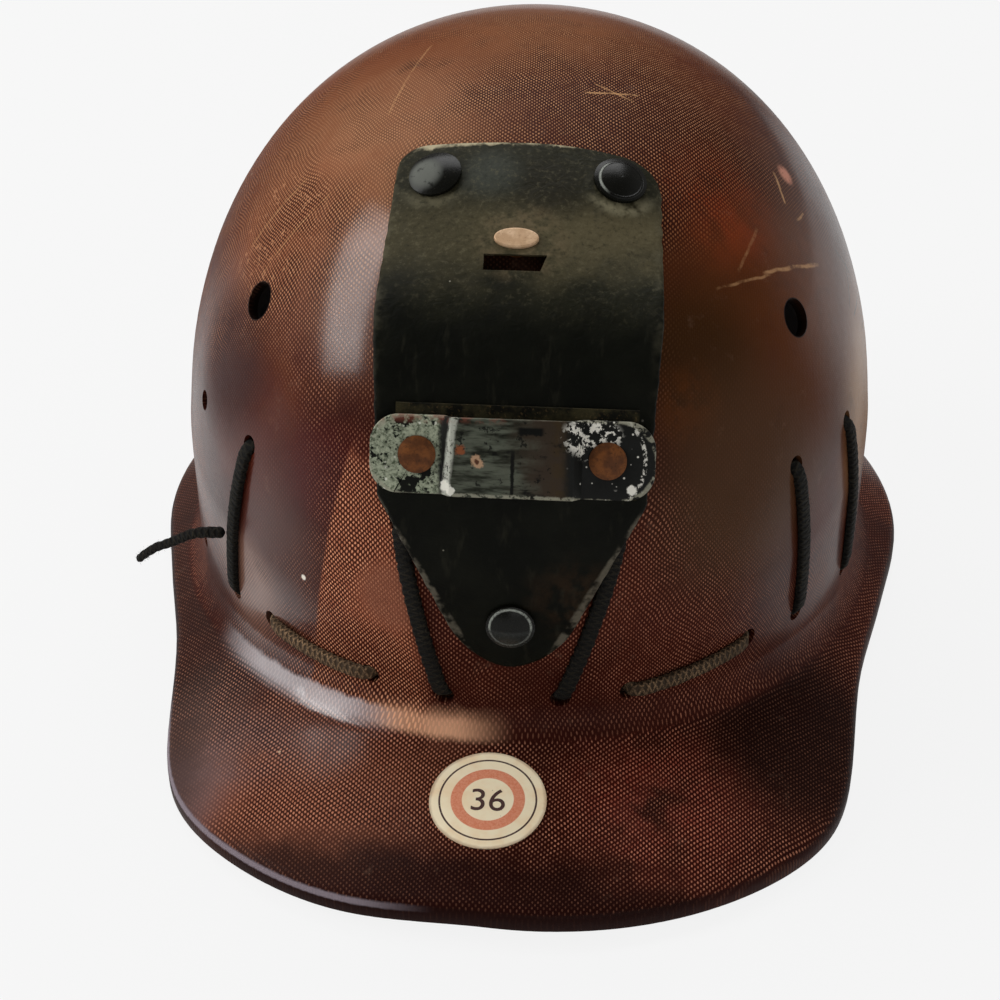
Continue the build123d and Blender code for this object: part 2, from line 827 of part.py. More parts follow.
with BuildPart() as sweatband:
    with BuildSketch(Plane.XY.offset(band_bottom)):
        Ellipse(band_half_width + band_thickness, band_half_length + band_thickness)
        Ellipse(band_half_width, band_half_length, mode=Mode.SUBTRACT)
    extrude(amount=band_height)
sweatband.part.label = "sweatband"

patch_level = strap_crown + 2 * (strap_thickness + strap_stack_gap) + strap_thickness + soft_gap
with BuildPart() as crown_patch:
    with BuildSketch(Plane.XY.offset(patch_level)):
        Circle(patch_radius)
    extrude(amount=patch_thickness)
crown_patch.part.label = "crown_patch"

# The helmet stands on the lowest points of its rim: pitch it about X until they are level,
# then put the middle of the shell's foot at the origin
rim_points = [rim_wire.position_at(i / rim_count / 3) for i in range(rim_count * 3)]
rim_points = [Vector(0, p.Y, brim_level(p.X, p.Y)) for p in rim_points]
fronts = [p for p in rim_points if p.Y < 0]
backs = [p for p in rim_points if p.Y > 0]


def chord_at_middle(front, back):
    return (front.Z * back.Y - back.Z * front.Y) / (back.Y - front.Y)


rest_front, rest_back = min(
    ((front, back) for front in fronts for back in backs), key=lambda pair: chord_at_middle(*pair)
)
rest_pitch = degrees(atan2(rest_front.Z - rest_back.Z, rest_back.Y - rest_front.Y))
pitched_box = (Rot(rest_pitch, 0, 0) * shell.part).bounding_box()
settle = Pos(-pitched_box.center().X, -pitched_box.center().Y, -pitched_box.min.Z)
print("rest pitch", round(rest_pitch, 3), "shift", settle.position)

pieces = [
    shell.part,
    paper_label.part,
    lamp_bracket_leather.part,
    bar_backing_strip.part,
    lamp_hook_bar.part,
    slot_burr.part,
    slot_rivet.part,
    *small_parts,
    shell_lace,
    lace_tail,
    lace_knot.part,
    cradle_strap_lateral,
    cradle_strap_right,
    cradle_strap_left,
    crown_patch.part,
    sweatband.part,
]
for piece in pieces:
    standing = settle * Rot(rest_pitch, 0, 0) * piece
    standing.label = piece.label
    export_step(standing, f"parts/{piece.label}.step")
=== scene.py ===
"""Miner helmet: canvas laminate shell, leather lamp bracket, lace and head cradle."""
import math

import bmesh
import bpy
import numpy as np
from mathutils import Matrix, Vector, noise


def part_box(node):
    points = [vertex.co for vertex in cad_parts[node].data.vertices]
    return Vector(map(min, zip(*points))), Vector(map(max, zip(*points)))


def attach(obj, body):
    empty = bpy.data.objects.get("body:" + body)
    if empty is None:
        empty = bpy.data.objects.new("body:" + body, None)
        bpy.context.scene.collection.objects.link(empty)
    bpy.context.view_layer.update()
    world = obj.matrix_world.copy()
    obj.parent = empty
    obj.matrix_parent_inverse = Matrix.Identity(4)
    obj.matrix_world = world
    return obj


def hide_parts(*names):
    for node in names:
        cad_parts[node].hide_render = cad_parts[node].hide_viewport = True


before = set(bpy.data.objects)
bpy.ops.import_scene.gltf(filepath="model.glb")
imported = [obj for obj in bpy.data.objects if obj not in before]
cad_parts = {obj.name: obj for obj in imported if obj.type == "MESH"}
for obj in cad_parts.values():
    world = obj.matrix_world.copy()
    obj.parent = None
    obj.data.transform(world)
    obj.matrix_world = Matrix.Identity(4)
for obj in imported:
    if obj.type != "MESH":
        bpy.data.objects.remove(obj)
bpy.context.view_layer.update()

# The helmet's own frame
# Shapes and patterns are worked out in millimetres round the dome's centre, visor to -Y,
# as the solids were, and then stood on the rim.
REST_PITCH = math.radians(6.257)
REST_SHIFT = Vector((0.0, 18.7325, 55.0608))
STAND = Matrix.Translation(REST_SHIFT / 1000) @ Matrix.Rotation(REST_PITCH, 4, "X")

DOME = (106.0, 126.5, 124.0)
ROUNDNESS = 2.26
VALLEY = 12.0
# the brim: its reach to the sides, front and back, its level and how far it rises and drops
EAR, VISOR, BACK, EASE = 121.0, 187.0, 139.0, 40.0
BRIM_LEVEL = -14.7
VISOR_RISE, VISOR_DROP = 0.063, 21.0
BACK_RISE, BACK_DROP = 0.005, 46.5
EAR_DROP, EAR_EASE = 34.5, 0.27
MILLIMETRES = (1000, 1000, 1000)
# the two vents' middles and axes, as they stand on the rim
VENTS = (
    ((75.75, -41.56, 123.64), (0.774, -0.428, 0.467)),
    ((-72.02, -45.87, 125.54), (-0.740, -0.462, 0.489)),
)


def stood(point):
    """A place in the dome's frame, in millimetres, as the helmet stands, in metres."""
    return STAND @ (Vector(point) / 1000)


def unstood(point):
    """The other way round."""
    return STAND.inverted() @ point * 1000


def crown_share(height):
    """The dome's width at a height, as a share of its width at the foot."""
    rise = min(max(height, 0.0) / DOME[2], 1.0)
    return (1 - rise**ROUNDNESS) ** (1 / ROUNDNESS)


def brim_level(x, y):
    """The height of the brim's top at a place in plan."""
    ahead = (math.hypot(y, EASE) - y) / 2
    behind = (math.hypot(y, EASE) + y) / 2
    front = VISOR_RISE * ahead - VISOR_DROP * (ahead / VISOR) ** 2
    back = BACK_RISE * behind + BACK_DROP * (behind / BACK) ** 2
    ear = EAR_DROP * (x / EAR) ** 2 * (1 - EAR_EASE * ahead / VISOR)
    return BRIM_LEVEL + front - back - ear


def skin_foot(angle, height):
    """A place on the bare dome at an angle from the front, to the right, in degrees."""
    turn = math.radians(angle)
    share = crown_share(height)
    return Vector((DOME[0] * share * math.sin(turn), -DOME[1] * share * math.cos(turn), height))


def skin_normal(angle, height):
    turn = math.radians(angle)
    side = crown_share(height) ** (ROUNDNESS - 1)
    rise = (max(height, 0.0) / DOME[2]) ** (ROUNDNESS - 1) / DOME[2]
    across = side * math.sin(turn) / DOME[0]
    return Vector((across, -side * math.cos(turn) / DOME[1], rise)).normalized()


def skin_point(angle, height, lift=0.0):
    """The same on the shell, which swells out where the dome turns into the brim."""
    foot = skin_foot(angle, min(height, 0.0))
    depth = min(max(VALLEY - (height - brim_level(foot.x, foot.y)), 0.0), VALLEY)
    swell = VALLEY - math.sqrt(VALLEY**2 - depth**2)
    return skin_foot(angle, height) + skin_normal(angle, height) * (swell + lift)


def skin_way(spot):
    """The way straight out of the dome at a spot on it."""
    slope = (spot.x / DOME[0] ** 2, spot.y / DOME[1] ** 2, max(spot.z, 0) / DOME[2] ** 2)
    return Vector(slope).normalized()


def inside_dome(point):
    across = math.hypot(point.x / DOME[0], point.y / DOME[1])
    return point.z < DOME[2] and across < crown_share(point.z)


# the bracket's plane: levels run up it, depths out of it
PITCH = math.radians(42.0)
BRACKET_UP = Vector((0, math.sin(PITCH), math.cos(PITCH)))
BRACKET_OUT = Vector((0, -math.cos(PITCH), math.sin(PITCH)))
BRACKET_SHIFT = 1.7
PANEL_FOOT, PANEL_TOP = -79.5, 63.0
PANEL_GAP, BOW, BOW_LEVEL, BOW_REACH = 0.3, 5.0, -15.0, 43.0
STUD_SIDE, STUD_LEVEL, TIP_LEVEL = 24.3, 51.0, -66.5
LABEL = (-3.0, -151.5)


def bracket_point(x, level, depth):
    return Vector((x, 0, 0)) + BRACKET_UP * level + BRACKET_OUT * depth


def dome_depth(x, level):
    """How far out the dome's skin is at a place on the bracket's plane."""
    near, far = 0.0, DOME[1] + DOME[2]
    for _ in range(30):
        middle = (near + far) / 2
        if inside_dome(bracket_point(x, level, middle)):
            near = middle
        else:
            far = middle
    return near


def on_dome(x, level, shift=0.0):
    """The place on the dome there, or as far out to its side by the shift."""
    return bracket_point(x + shift, level, dome_depth(x, level))


def leather_depth(x, level):
    """How far out the leather's back is: on the dome, and bowed off it behind the bar."""
    bow = math.exp(-(((level - BOW_LEVEL) / BOW_REACH) ** 4))
    middle = dome_depth(0, level)
    return middle + PANEL_GAP + BOW * bow + (1 - bow) * (dome_depth(x, level) - middle)


# Camera
YAW, ELEVATION, ROLL = (math.radians(turn) for turn in (3.878, 37.147, -0.237))
CAMERA_PLACE = (30.0, -583.2, 431.4)

forward = Vector((-math.sin(YAW), math.cos(YAW), 0))
right = Vector((math.cos(YAW), math.sin(YAW), 0))
up = forward * math.sin(ELEVATION) + Vector((0, 0, math.cos(ELEVATION)))
back = right.cross(up)
roll = Matrix.Rotation(ROLL, 3, back)
turned = STAND.to_3x3() @ Matrix((roll @ right, roll @ up, back)).transposed()
camera = bpy.data.objects.new("camera", bpy.data.cameras.new("camera"))
bpy.context.scene.collection.objects.link(camera)
camera.matrix_world = Matrix.Translation(stood(CAMERA_PLACE)) @ turned.to_4x4()
camera.data.lens = 81.77
camera.data.sensor_width = 36.0
camera.data.shift_y = -0.06
camera.data.clip_start = 0.01
bpy.context.scene.camera = camera


# Shader recipes
def ink(red, green, blue):
    """A colour as it looks on a screen, 0 to 255, made linear."""
    parts = [c / 255 for c in (red, green, blue)]
    linear = [c / 12.92 if c <= 0.04045 else ((c + 0.055) / 1.055) ** 2.4 for c in parts]
    return (*linear, 1.0)


class Wire:
    """One output socket that can be used in sums, which add their Math nodes."""

    def __init__(self, bench, socket):
        self.bench = bench
        self.socket = socket

    def of(self, operation, *others):
        return self.bench.math(operation, self, *others)

    def least(self, other):
        return self.of("MINIMUM", other)

    def most(self, other):
        return self.of("MAXIMUM", other)

    def __abs__(self):
        return self.of("ABSOLUTE")

    def __add__(self, other):
        return self.of("ADD", other)

    def __sub__(self, other):
        return self.of("SUBTRACT", other)

    def __rsub__(self, other):
        return self.bench.math("SUBTRACT", other, self)

    def __mul__(self, other):
        return self.of("MULTIPLY", other)

    def __truediv__(self, other):
        return self.of("DIVIDE", other)

    def __rtruediv__(self, other):
        return self.bench.math("DIVIDE", other, self)

    def __pow__(self, other):
        return self.of("POWER", other)

    __radd__ = __add__
    __rmul__ = __mul__


class Bench:
    """A node tree on the bench: every node comes from node(), the rest are shorthands."""

    def __init__(self, tree):
        self.tree = tree
        tree.nodes.clear()

    def node(self, kind, settings, sockets, output=0):
        made = self.tree.nodes.new(kind if "Node" in kind else "ShaderNode" + kind)
        for key, value in settings.items():
            setattr(made, key, value)
        self.fill(made, sockets)
        return made if output is None else Wire(self, made.outputs[output])

    def fill(self, made, sockets):
        for key, value in sockets.items():
            if isinstance(value, Wire):
                self.tree.links.new(value.socket, made.inputs[key])
            else:
                made.inputs[key].default_value = value

    def math(self, operation, *values):
        return self.node("Math", {"operation": operation}, dict(enumerate(values)))

    def parts(self, place):
        split = self.node("SeparateXYZ", {}, {0: place}, None)
        return [Wire(self, output) for output in split.outputs]

    def ramp(self, value, low, high, start=0.0, end=1.0):
        """A soft step from start to end, as the value goes from low to high."""
        sockets = {0: value, 1: low, 2: high, 3: start, 4: end}
        return self.node("MapRange", {"interpolation_type": "SMOOTHSTEP"}, sockets)


class Recipe(Bench):
    """A material: patterns lie by here, in millimetres, and colour and normal gather coats."""

    def __init__(self, name, **surface):
        self.material = bpy.data.materials.new(name)
        self.material.use_nodes = True
        super().__init__(self.material.node_tree)
        self.here = self.colour = self.normal = None
        self.surface = self.node("BsdfPrincipled", {}, self.spaced(surface))
        self.output = self.node("OutputMaterial", {}, {"Surface": self.surface}, None)

    def spaced(self, sockets):
        return {key.replace("_", " "): value for key, value in sockets.items()}

    def finish(self, **sockets):
        """The material, with its colour and normal and the sockets given, as Coat_Weight."""
        gathered = {"Base Color": self.colour, "Normal": self.normal, **self.spaced(sockets)}
        gathered = {key: value for key, value in gathered.items() if value is not None}
        self.fill(self.surface.socket.node, gathered)
        return self.material

    # coats of colour and relief
    def mix(self, factor, low, high, blend="MIX"):
        settings = {"data_type": "RGBA", "blend_type": blend}
        return self.node("Mix", settings, {0: factor, 6: low, 7: high}, 2)

    def base(self, factor, low, high):
        """The first coat, between two inks."""
        self.colour = self.mix(factor, ink(*low), ink(*high))

    def paint(self, share, *tone):
        """A further coat: its ink's three numbers, or one colour that is ready."""
        self.colour = self.mix(share, self.colour, ink(*tone) if len(tone) == 3 else tone[0])

    def bump(self, height, depth, strength=1.0):
        """Relief over what is there: the height, 0 to 1, stands for millimetres of depth."""
        sockets = {"Height": height, "Distance": depth / 1000, "Strength": strength}
        if self.normal:
            sockets["Normal"] = self.normal
        self.normal = self.node("Bump", {}, sockets)

    # where patterns lie
    def rest_place(self):
        """Object coordinates as they are; gives x, y and z."""
        at = self.node("TexCoord", {}, {}, "Object")
        self.here = self.node("Mapping", {}, {"Vector": at, "Scale": MILLIMETRES})
        return self.parts(self.here)

    def dome_place(self):
        """Object coordinates turned back to the dome's own frame; gives x, y and z."""
        sockets = {
            "Vector": self.node("TexCoord", {}, {}, "Object"),
            "Scale": MILLIMETRES,
            "Rotation": (-REST_PITCH, 0, 0),
            "Location": -(Matrix.Rotation(-REST_PITCH, 3, "X") @ REST_SHIFT),
        }
        self.here = self.node("Mapping", {}, sockets)
        return self.parts(self.here)

    def thread_place(self):
        """Lengths along and across the piece, from its own map."""
        flat = self.node("UVMap", {"uv_map": "cloth"}, {})
        return self.parts(self.node("Mapping", {}, {"Vector": flat, "Scale": MILLIMETRES}))[:2]

    def vector(self, operation, one, two=(0, 0, 0), output=0):
        return self.node("VectorMath", {"operation": operation}, {0: one, 1: two}, output)

    def join(self, x, y, z):
        return self.node("CombineXYZ", {}, {0: x, 1: y, 2: z})

    def dot(self, way, place=None):
        return self.vector("DOT_PRODUCT", place or self.here, way, 1)

    def beside(self, start, end):
        """Distance from the cut through the dome's centre and two places on its skin."""
        return self.dot(Vector(start).cross(Vector(end)).normalized())

    def away(self, spot):
        return self.vector("DISTANCE", self.here, spot, 1)

    def near(self, spot, radius, core=0.0):
        """1 inside the core round a spot, 0 beyond the radius."""
        return self.ramp(self.away(spot), radius, core)

    def span(self, one, two):
        return self.vector("LENGTH", self.join(one, two, 0), output=1)

    def off_axis(self, spot, way):
        """Distance from the line through a spot along a way."""
        across = self.vector("CROSS_PRODUCT", self.vector("SUBTRACT", self.here, spot), way)
        return self.vector("LENGTH", across, output=1)

    # patterns
    def noise(self, size, detail=2.0, rough=0.5, warp=0.0, stretch=None):
        """Cloudy noise in blotches of about the size; a stretch below 1 draws them out."""
        at = self.vector("MULTIPLY", self.here, stretch) if stretch else self.here
        sockets = {"Vector": at, "Scale": 1 / size, "Detail": detail, "Roughness": rough}
        sockets["Distortion"] = warp
        return self.node("TexNoise", {}, sockets)

    def pores(self, size):
        sockets = {"Vector": self.here, "Scale": 1 / size}
        return self.node("TexVoronoi", {"feature": "SMOOTH_F1"}, sockets)

    def specks(self, spacing, radius, share=1.0):
        """Small dots, one per cell at most; the share is how many cells have one."""
        sockets = {"Vector": self.here, "Scale": 1 / spacing, "Randomness": 1.0}
        cells = self.node("TexVoronoi", {}, sockets, None)
        distance = Wire(self, cells.outputs["Distance"])
        lot = self.node("SeparateColor", {}, {0: Wire(self, cells.outputs["Color"])})
        dot = self.ramp(distance, radius / spacing, radius / spacing * 0.6)
        return dot * self.ramp(lot, share + 0.01, share)

    def weave(self, across, along, pitch):
        """Plain weave: heights of the two sets of threads, each 0 to 1."""
        wave_a = (across * (math.pi / pitch)).of("COSINE")
        wave_b = (along * (math.pi / pitch)).of("COSINE")
        over = wave_a * wave_b
        return (abs(wave_a) + over) * 0.5, (abs(wave_b) - over) * 0.5

    def scratch(self, start, end, width, waver):
        """A scored line over the dome from one place on it to another."""
        start, end = Vector(start), Vector(end)
        along = (end - start).normalized()
        middle = (start + end) / 2
        half = (end - start).length / 2
        off = abs(self.beside(start, end) + (waver - 0.5) * width * 2)
        run = abs(self.dot(along) - middle.dot(along))
        facing = self.ramp(self.dot(middle.normalized()), 0, 20)
        return self.ramp(off, width, width * 0.3) * self.ramp(run, half, half * 0.8) * facing


# Finishes
BACKDROP = (246, 246, 246)
stud_spots = [on_dome(side * STUD_SIDE, STUD_LEVEL, BRACKET_SHIFT) for side in (-1, 1)]


def laminate_finish():
    """Resin soaked canvas, brown to maroon, its weave worn tan where it stands proud."""
    r = Recipe("laminate", Specular_IOR_Level=0.05, Coat_Roughness=0.16)
    x, y, z = r.dome_place()
    waver = r.noise(22, 2)
    fine_waver = r.noise(5, 1)
    cloud = r.noise(46, 3, 0.55)
    mottle = r.noise(13, 3, 0.6)
    blot = r.noise(5, 3, 0.6)
    grit = r.noise(1.6, 2, 0.6)
    # cloth laid over the dome from the front and from the back, with even threads
    fold, heart, tilt, radius = 22, 8, 0.66, 118
    outward = r.vector("NORMALIZE", r.join(x, fold - abs(y - fold), z - heart))
    aim = r.dot((0, -math.cos(tilt), math.sin(tilt)), outward)
    across = r.dot((1, 0, 0), outward)
    along = r.dot((0, math.sin(tilt), math.cos(tilt)), outward)
    sine = (1.0001 - aim * aim).of("SQRT")
    spread = radius * aim.of("ARCCOSINE") / (sine + 0.001)
    drift = (waver - 0.5) * 5 + (fine_waver - 0.5) * 0.4
    dome_warp, dome_weft = r.weave(across * spread + drift, along * spread + drift, 0.76)
    brim_warp, brim_weft = r.weave(x + drift * 0.6, y - drift * 0.4, 0.82)
    # masks: the brim past the dome's foot, what faces up or out, and the inner wall
    foot = ((x / DOME[0]) ** 2 + (y / DOME[1]) ** 2).of("SQRT")
    brim = r.ramp(foot, 1.035, 1.055)
    steep = r.parts(r.node("TexCoord", {}, {}, "Normal"))[2]
    outside = r.ramp(steep, -0.3, -0.1)
    risen = (z / DOME[2]).most(0.0)
    inner = r.ramp(foot**ROUNDNESS + risen**ROUNDNESS, 0.978, 0.958)
    visor = brim * r.ramp(y, -60, -90)
    warp = dome_warp * (1 - brim) + brim_warp * brim
    weft = dome_weft * (1 - brim) + brim_weft * brim
    # broad colour: warm at the top, olive on the right, maroon below
    r.base(r.ramp(cloud, 0.35, 0.7), (56, 20, 14), (82, 34, 24))
    warm = r.ramp(z + (mottle - 0.5) * 50 - x * 0.22, 66, 122)
    r.paint(warm, 118, 68, 42)
    # lighter patches at the upper left: paler cloth, with the upper-left light's sheen painted in
    fair = r.near((-42, -34, 118), 62, 8) * r.ramp(mottle, 0.2, 0.6, 0.6, 1.0)
    r.paint(fair * 0.85, 172, 132, 112)
    r.paint(r.near((-66, -48, 92), 42, 6) * 0.7, 164, 108, 86)
    r.paint(r.near((2, 22, 123), 44, 8) * 0.8, 136, 92, 66)
    r.paint(r.near((22, -30, 119), 44, 16) * 0.85, 86, 38, 20)
    olive = r.near((78, -56, 82), 72, 22) * r.ramp(mottle, 0.2, 0.55, 0.75, 1.0)
    r.paint(olive * 0.9, 92, 52, 20)
    r.paint(r.near((50, -84, 82), 30, 8) * 0.8, 58, 38, 8)
    patchy = mottle + (blot - 0.5) * 0.4
    ruddy = r.near((54.4, -39.3, 104.6), 28, 4) * r.ramp(patchy, 0.3, 0.6, 0.35, 1.0)
    r.paint(ruddy * 0.85, 150, 68, 38)
    # the right side's sandy band: rubbed cloth, with a painted grazing reflection
    side_wear_and_sheen = r.ramp(x, 90, 101) * r.ramp(y + (cloud - 0.5) * 50, -70, -34)
    side_wear_and_sheen = side_wear_and_sheen * r.ramp(y + (mottle - 0.5) * 40, 24, -22)
    side_wear_and_sheen = side_wear_and_sheen * r.ramp(z + (cloud - 0.5) * 40, 84, 44) * r.ramp(z, -4, 22)
    sandy = r.mix(r.ramp(z, 40, 62), ink(196, 166, 134), ink(160, 106, 52))
    r.paint(side_wear_and_sheen * 0.62, sandy)
    amber = r.near((80, -40, 82), 34, 6) + r.near((47.7, -94, 72), 16, 3)
    r.paint(amber * r.ramp(blot, 0.3, 0.6) * 0.6, 104, 56, 12)
    r.paint(r.near((64, -92, 46), 46, 14) * 0.85, 80, 60, 46)
    r.paint(r.near((26, -121, 28), 20, 6) * 0.7, 92, 44, 32)
    r.paint(r.near((-50, -103, 52), 22, 8) * 0.8, 74, 14, 12)
    # painted reflection: greyish pink low on the left front
    r.paint(r.near((-66, -98, 20), 26, 8) * 0.5, 92, 64, 66)
    r.paint(r.near((-84, -62, 62), 30, 10) * 0.8, 50, 14, 10)
    # visor: brighter cloth on the left, pinkish on the right, dark to the front and corner
    fair_visor = r.near((-50, -140, -24), 52, 10) * r.ramp(cloud + blot * 0.3, 0.4, 0.75, 0.6, 1)
    r.paint(visor * fair_visor * 0.85, 176, 118, 102)
    pink_visor = r.near((45, -146, -22), 38, 6) * r.ramp(mottle, 0.3, 0.6)
    r.paint(visor * pink_visor * 0.8, 162, 74, 68)
    corner = r.near((88, -112, -30), 46, 20) * brim
    r.paint(corner * 0.95, 34, 9, 3)
    dark_front = visor * r.ramp(y + (mottle - 0.5) * 16 + x * 0.1, -160, -176)
    r.paint(dark_front * 0.9, 30, 6, 4)
    r.paint(r.near((-90, -106, -30), 24, 8) * brim * 0.8, 58, 40, 38)
    # wedge of brighter cloth low on the left front
    wedge_side = r.beside((-42.7, -101.8, 62.3), (-53, -108.9, 12.1))
    lace_side = r.beside((-27.4, -111, 58.3), (-24, -124.1, -5.2))
    wedge = r.ramp(wedge_side, -0.6, 0.6) * r.ramp(lace_side, 4, -2)
    wedge = wedge * r.ramp(y, -86, -92) * r.ramp(z + (blot - 0.5) * 14, 66, 52)
    wedge = wedge * (1 - brim)
    r.paint(wedge * 0.9, 182, 114, 96)
    smooth_wedge = wedge * r.near((-30.6, -118.7, 24), 14, 7)
    foot_band = r.near((-42, -116, -14), 30, 14) * r.ramp(z, -30, -22)
    r.paint(foot_band * 0.6, 104, 48, 32)
    # in the valley: a tan run of resin in front, and to its left a pale painted reflection
    uneven_foot = (blot - 0.5) * 0.012
    streak = r.ramp(abs(foot - 1.031) + uneven_foot, 0.03, 0.008) * r.ramp(y, -70, -84)
    valley_reflection = r.ramp(foot + uneven_foot, 1.012, 1.022) * r.ramp(foot, 1.075, 1.035)
    valley_reflection = outside * valley_reflection * r.ramp(y, -72, -84) * r.ramp(x, -92, -72) * r.ramp(x, -26, -46)
    tan_run = outside * streak * r.ramp(x, -44, -30) * r.ramp(x, 4, -16)
    r.paint(tan_run * 0.8, 252, 208, 190)
    # painted reflections: pinkish grey low on the left of the dome, greyer on the visor's left
    # corner
    r.paint(r.near((-78, -86, -2), 24, 8) * 0.45, 176, 146, 144)
    r.paint(r.near((-96, -124, -34), 34, 12) * 0.6, 140, 116, 122)
    r.paint(r.ramp(mottle, 0.62, 0.8) * 0.35, 34, 12, 8)
    # the resin over it all is amber
    r.colour = r.mix(1.0, r.colour, (0.80, 0.66, 0.48, 1), "MULTIPLY")
    # bare resin on the left, smooth by the panel; painted reflections, pale in the valley and grey
    # on the corner and lip
    r.paint(smooth_wedge * 0.7, 122, 76, 58)
    lip = brim * r.ramp(steep, 0.68, 0.5) * (1 - inner)
    r.paint(valley_reflection * 0.8, 204, 196, 198)
    grey_reflection = brim * r.near((-72, -128, -28), 22, 6) * r.ramp(mottle, 0.25, 0.6) * 0.45
    grey_reflection = grey_reflection + brim * r.near((-92, -142, -40), 26, 10) * 0.55
    r.paint(grey_reflection * outside, 118, 96, 96)
    bare = brim * r.ramp(x + (mottle - 0.5) * 14, -78, -96)
    r.paint(bare * 0.7, 46, 32, 28)
    # painted reflection: a light band along the lip's shoulder at the left
    lip_reflection = lip * r.ramp(x, -14, -40) * r.ramp(y, -96, -120) * r.ramp(steep, 0.12, 0.3)
    r.paint(lip * 0.8, 28, 7, 4)
    r.paint(lip_reflection * 0.75, 146, 134, 142)
    # the weave: gaps darker, worn crowns tan, both only in places
    worn = r.ramp(cloud * 0.6 + mottle * 0.4, 0.4, 0.56)
    worn_fine = r.ramp(grit, 0.3, 0.6)
    plain = r.near((82, -68, 62), 64, 44) + r.near((-74, -78, 40), 40, 26) * (1 - wedge)
    plain = plain.least(1.0) * (1 - brim)
    plain = plain.most(smooth_wedge * 0.8)
    bold = r.near((-60, -52, 94), 30, 12) + r.near((18, -26, 120), 56, 24)
    bold = bold + r.near((56, -36, 104), 34, 12)
    show = 0.22 + worn * 0.4 + visor * 0.45 + wedge * 0.6 + foot_band * 0.6 + bold * 0.5
    show = show.least(1.0) * (1 - plain * 0.9)
    show = show * (1 - dark_front * 0.8) * (1 - corner * 0.75)
    show = show * (1 - valley_reflection * 0.7) * (1 - lip * 0.9) * (1 - bare * 0.6)
    show = show * (1 - brim * r.near((-92, -142, -40), 30, 12) * 0.8)
    uneven = r.ramp(r.noise(3.4, 3, 0.7), 0.3, 0.6, 0.35, 1.0)
    dots = r.ramp(warp, 0.42, 0.86) * show * (0.5 + worn_fine * 0.5) * uneven
    tan = r.mix(warm, ink(208, 142, 112), ink(198, 148, 108))
    tan = r.mix(wedge, tan, ink(238, 172, 132))
    tan = r.mix(olive, tan, ink(120, 76, 34))
    gaps = r.ramp(warp, 0.55, 0.2) * show * (1 - tan_run * 0.6)
    r.paint(gaps * 0.9, 38, 9, 4)
    r.paint(dots * 0.82, tan)
    # painted shadow in the slot under the bracket
    under = r.near(on_dome(0, 27, BRACKET_SHIFT), 15, 10)
    r.paint(under * 0.85, 16, 10, 6)
    # the inner wall: a dark lining tone, darkened further as painted shade inside the shell
    lining_and_shade = r.mix(r.ramp(blot, 0.3, 0.7), ink(30, 18, 12), ink(52, 32, 20))
    r.paint(inner * 0.9, lining_and_shade)
    # painted shade in the bores of the vents
    for middle, way in VENTS:
        middle = unstood(Vector(middle) / 1000)
        bore = r.off_axis(middle, (STAND.to_3x3().inverted() @ Vector(way)).normalized())
        r.paint(r.ramp(bore, 5.9, 5.6) * r.near(middle, 12, 9) * 0.9, 10, 6, 4)
    # a dark band along the lace over the brim: packed grime, and the lace's shadow painted round it
    for stitch in (LEFT_STITCHES[BRIM_STITCH], RIGHT_STITCHES[BRIM_STITCH]):
        ends = [skin_point(angle, share * DOME[2]) for angle, share in stitch]
        r.paint(r.scratch(*ends, 3.4, waver) * 0.7, 34, 20, 10)
    # scored lines, chips and grime
    pale = ink(196, 150, 104)
    for start, end, width, strength in (
        ((53.4, -65.9, 92.3), (70, -50, 88), 0.6, 0.45),
        ((66, -52, 89), (84.7, -28.3, 77.3), 0.8, 0.6),
        ((60, -58, 93), (66, -40, 97), 0.7, 0.3),
        ((15.2, -13.6, 122.7), (31.3, -9.7, 120.2), 0.5, 0.7),
        ((18, -8, 123), (30, -14, 120.5), 0.45, 0.6),
        ((73.7, -22.2, 93.3), (70, -12, 98), 0.7, 0.7),
        ((77, -25, 89), (80, -17, 88), 0.6, 0.6),
        ((-78.5, -37.9, 82.3), (-60, -30, 102), 0.6, 0.3),
        ((-72, -50, 80), (-50, -40, 106), 0.5, 0.25),
        ((-40, -20, 117), (-30, 20, 119), 0.5, 0.3),
        ((-92, 20, 50), (-70, 60, 78), 0.7, 0.4),
        ((40, 60, 104), (70, 30, 96), 0.8, 0.4),
    ):
        line = r.scratch(start, end, width, fine_waver) * outside
        r.paint(line * strength * r.ramp(blot + grit * 0.4, 0.45, 0.8), pale)
    for start, end in (
        ((93, -2, 66), (95, -22, 58)),
        ((96, -20, 54), (99, -4, 52)),
        ((90, -12, 73), (96, -6, 60)),
    ):
        r.paint(r.scratch(start, end, 0.5, waver) * 0.8, 22, 14, 8)
    r.paint(r.near((74.1, -8.3, 95), 4.2, 1.6) * r.ramp(grit, 0.2, 0.5) * 0.8, 206, 140, 116)
    fibres = r.noise(1.5, 3, 0.7, 0.6, (1.0, 0.5, 0.28))
    fibres = outside * r.ramp(fibres, 0.58, 0.68) * r.near((-69, -42, 92), 27, 10)
    r.paint(fibres * 0.55, 196, 142, 104)
    r.paint(r.specks(17, 0.55, 0.35) * 0.75, 206, 176, 146)
    r.paint(r.near((-57.4, -105.2, 17.9), 1.1, 0.6), 236, 228, 214)
    dust = r.ramp(r.noise(9, 4, 0.7), 0.6, 0.8)
    r.paint(dust * 0.14, 150, 120, 100)
    rough = 0.5 + show * 0.1 + r.ramp(grit, 0.3, 0.8) * 0.08
    r.bump(warp * 0.6 + weft * 0.4, 0.11, 0.8)
    r.bump(r.noise(16, 2), 0.8, 0.5)
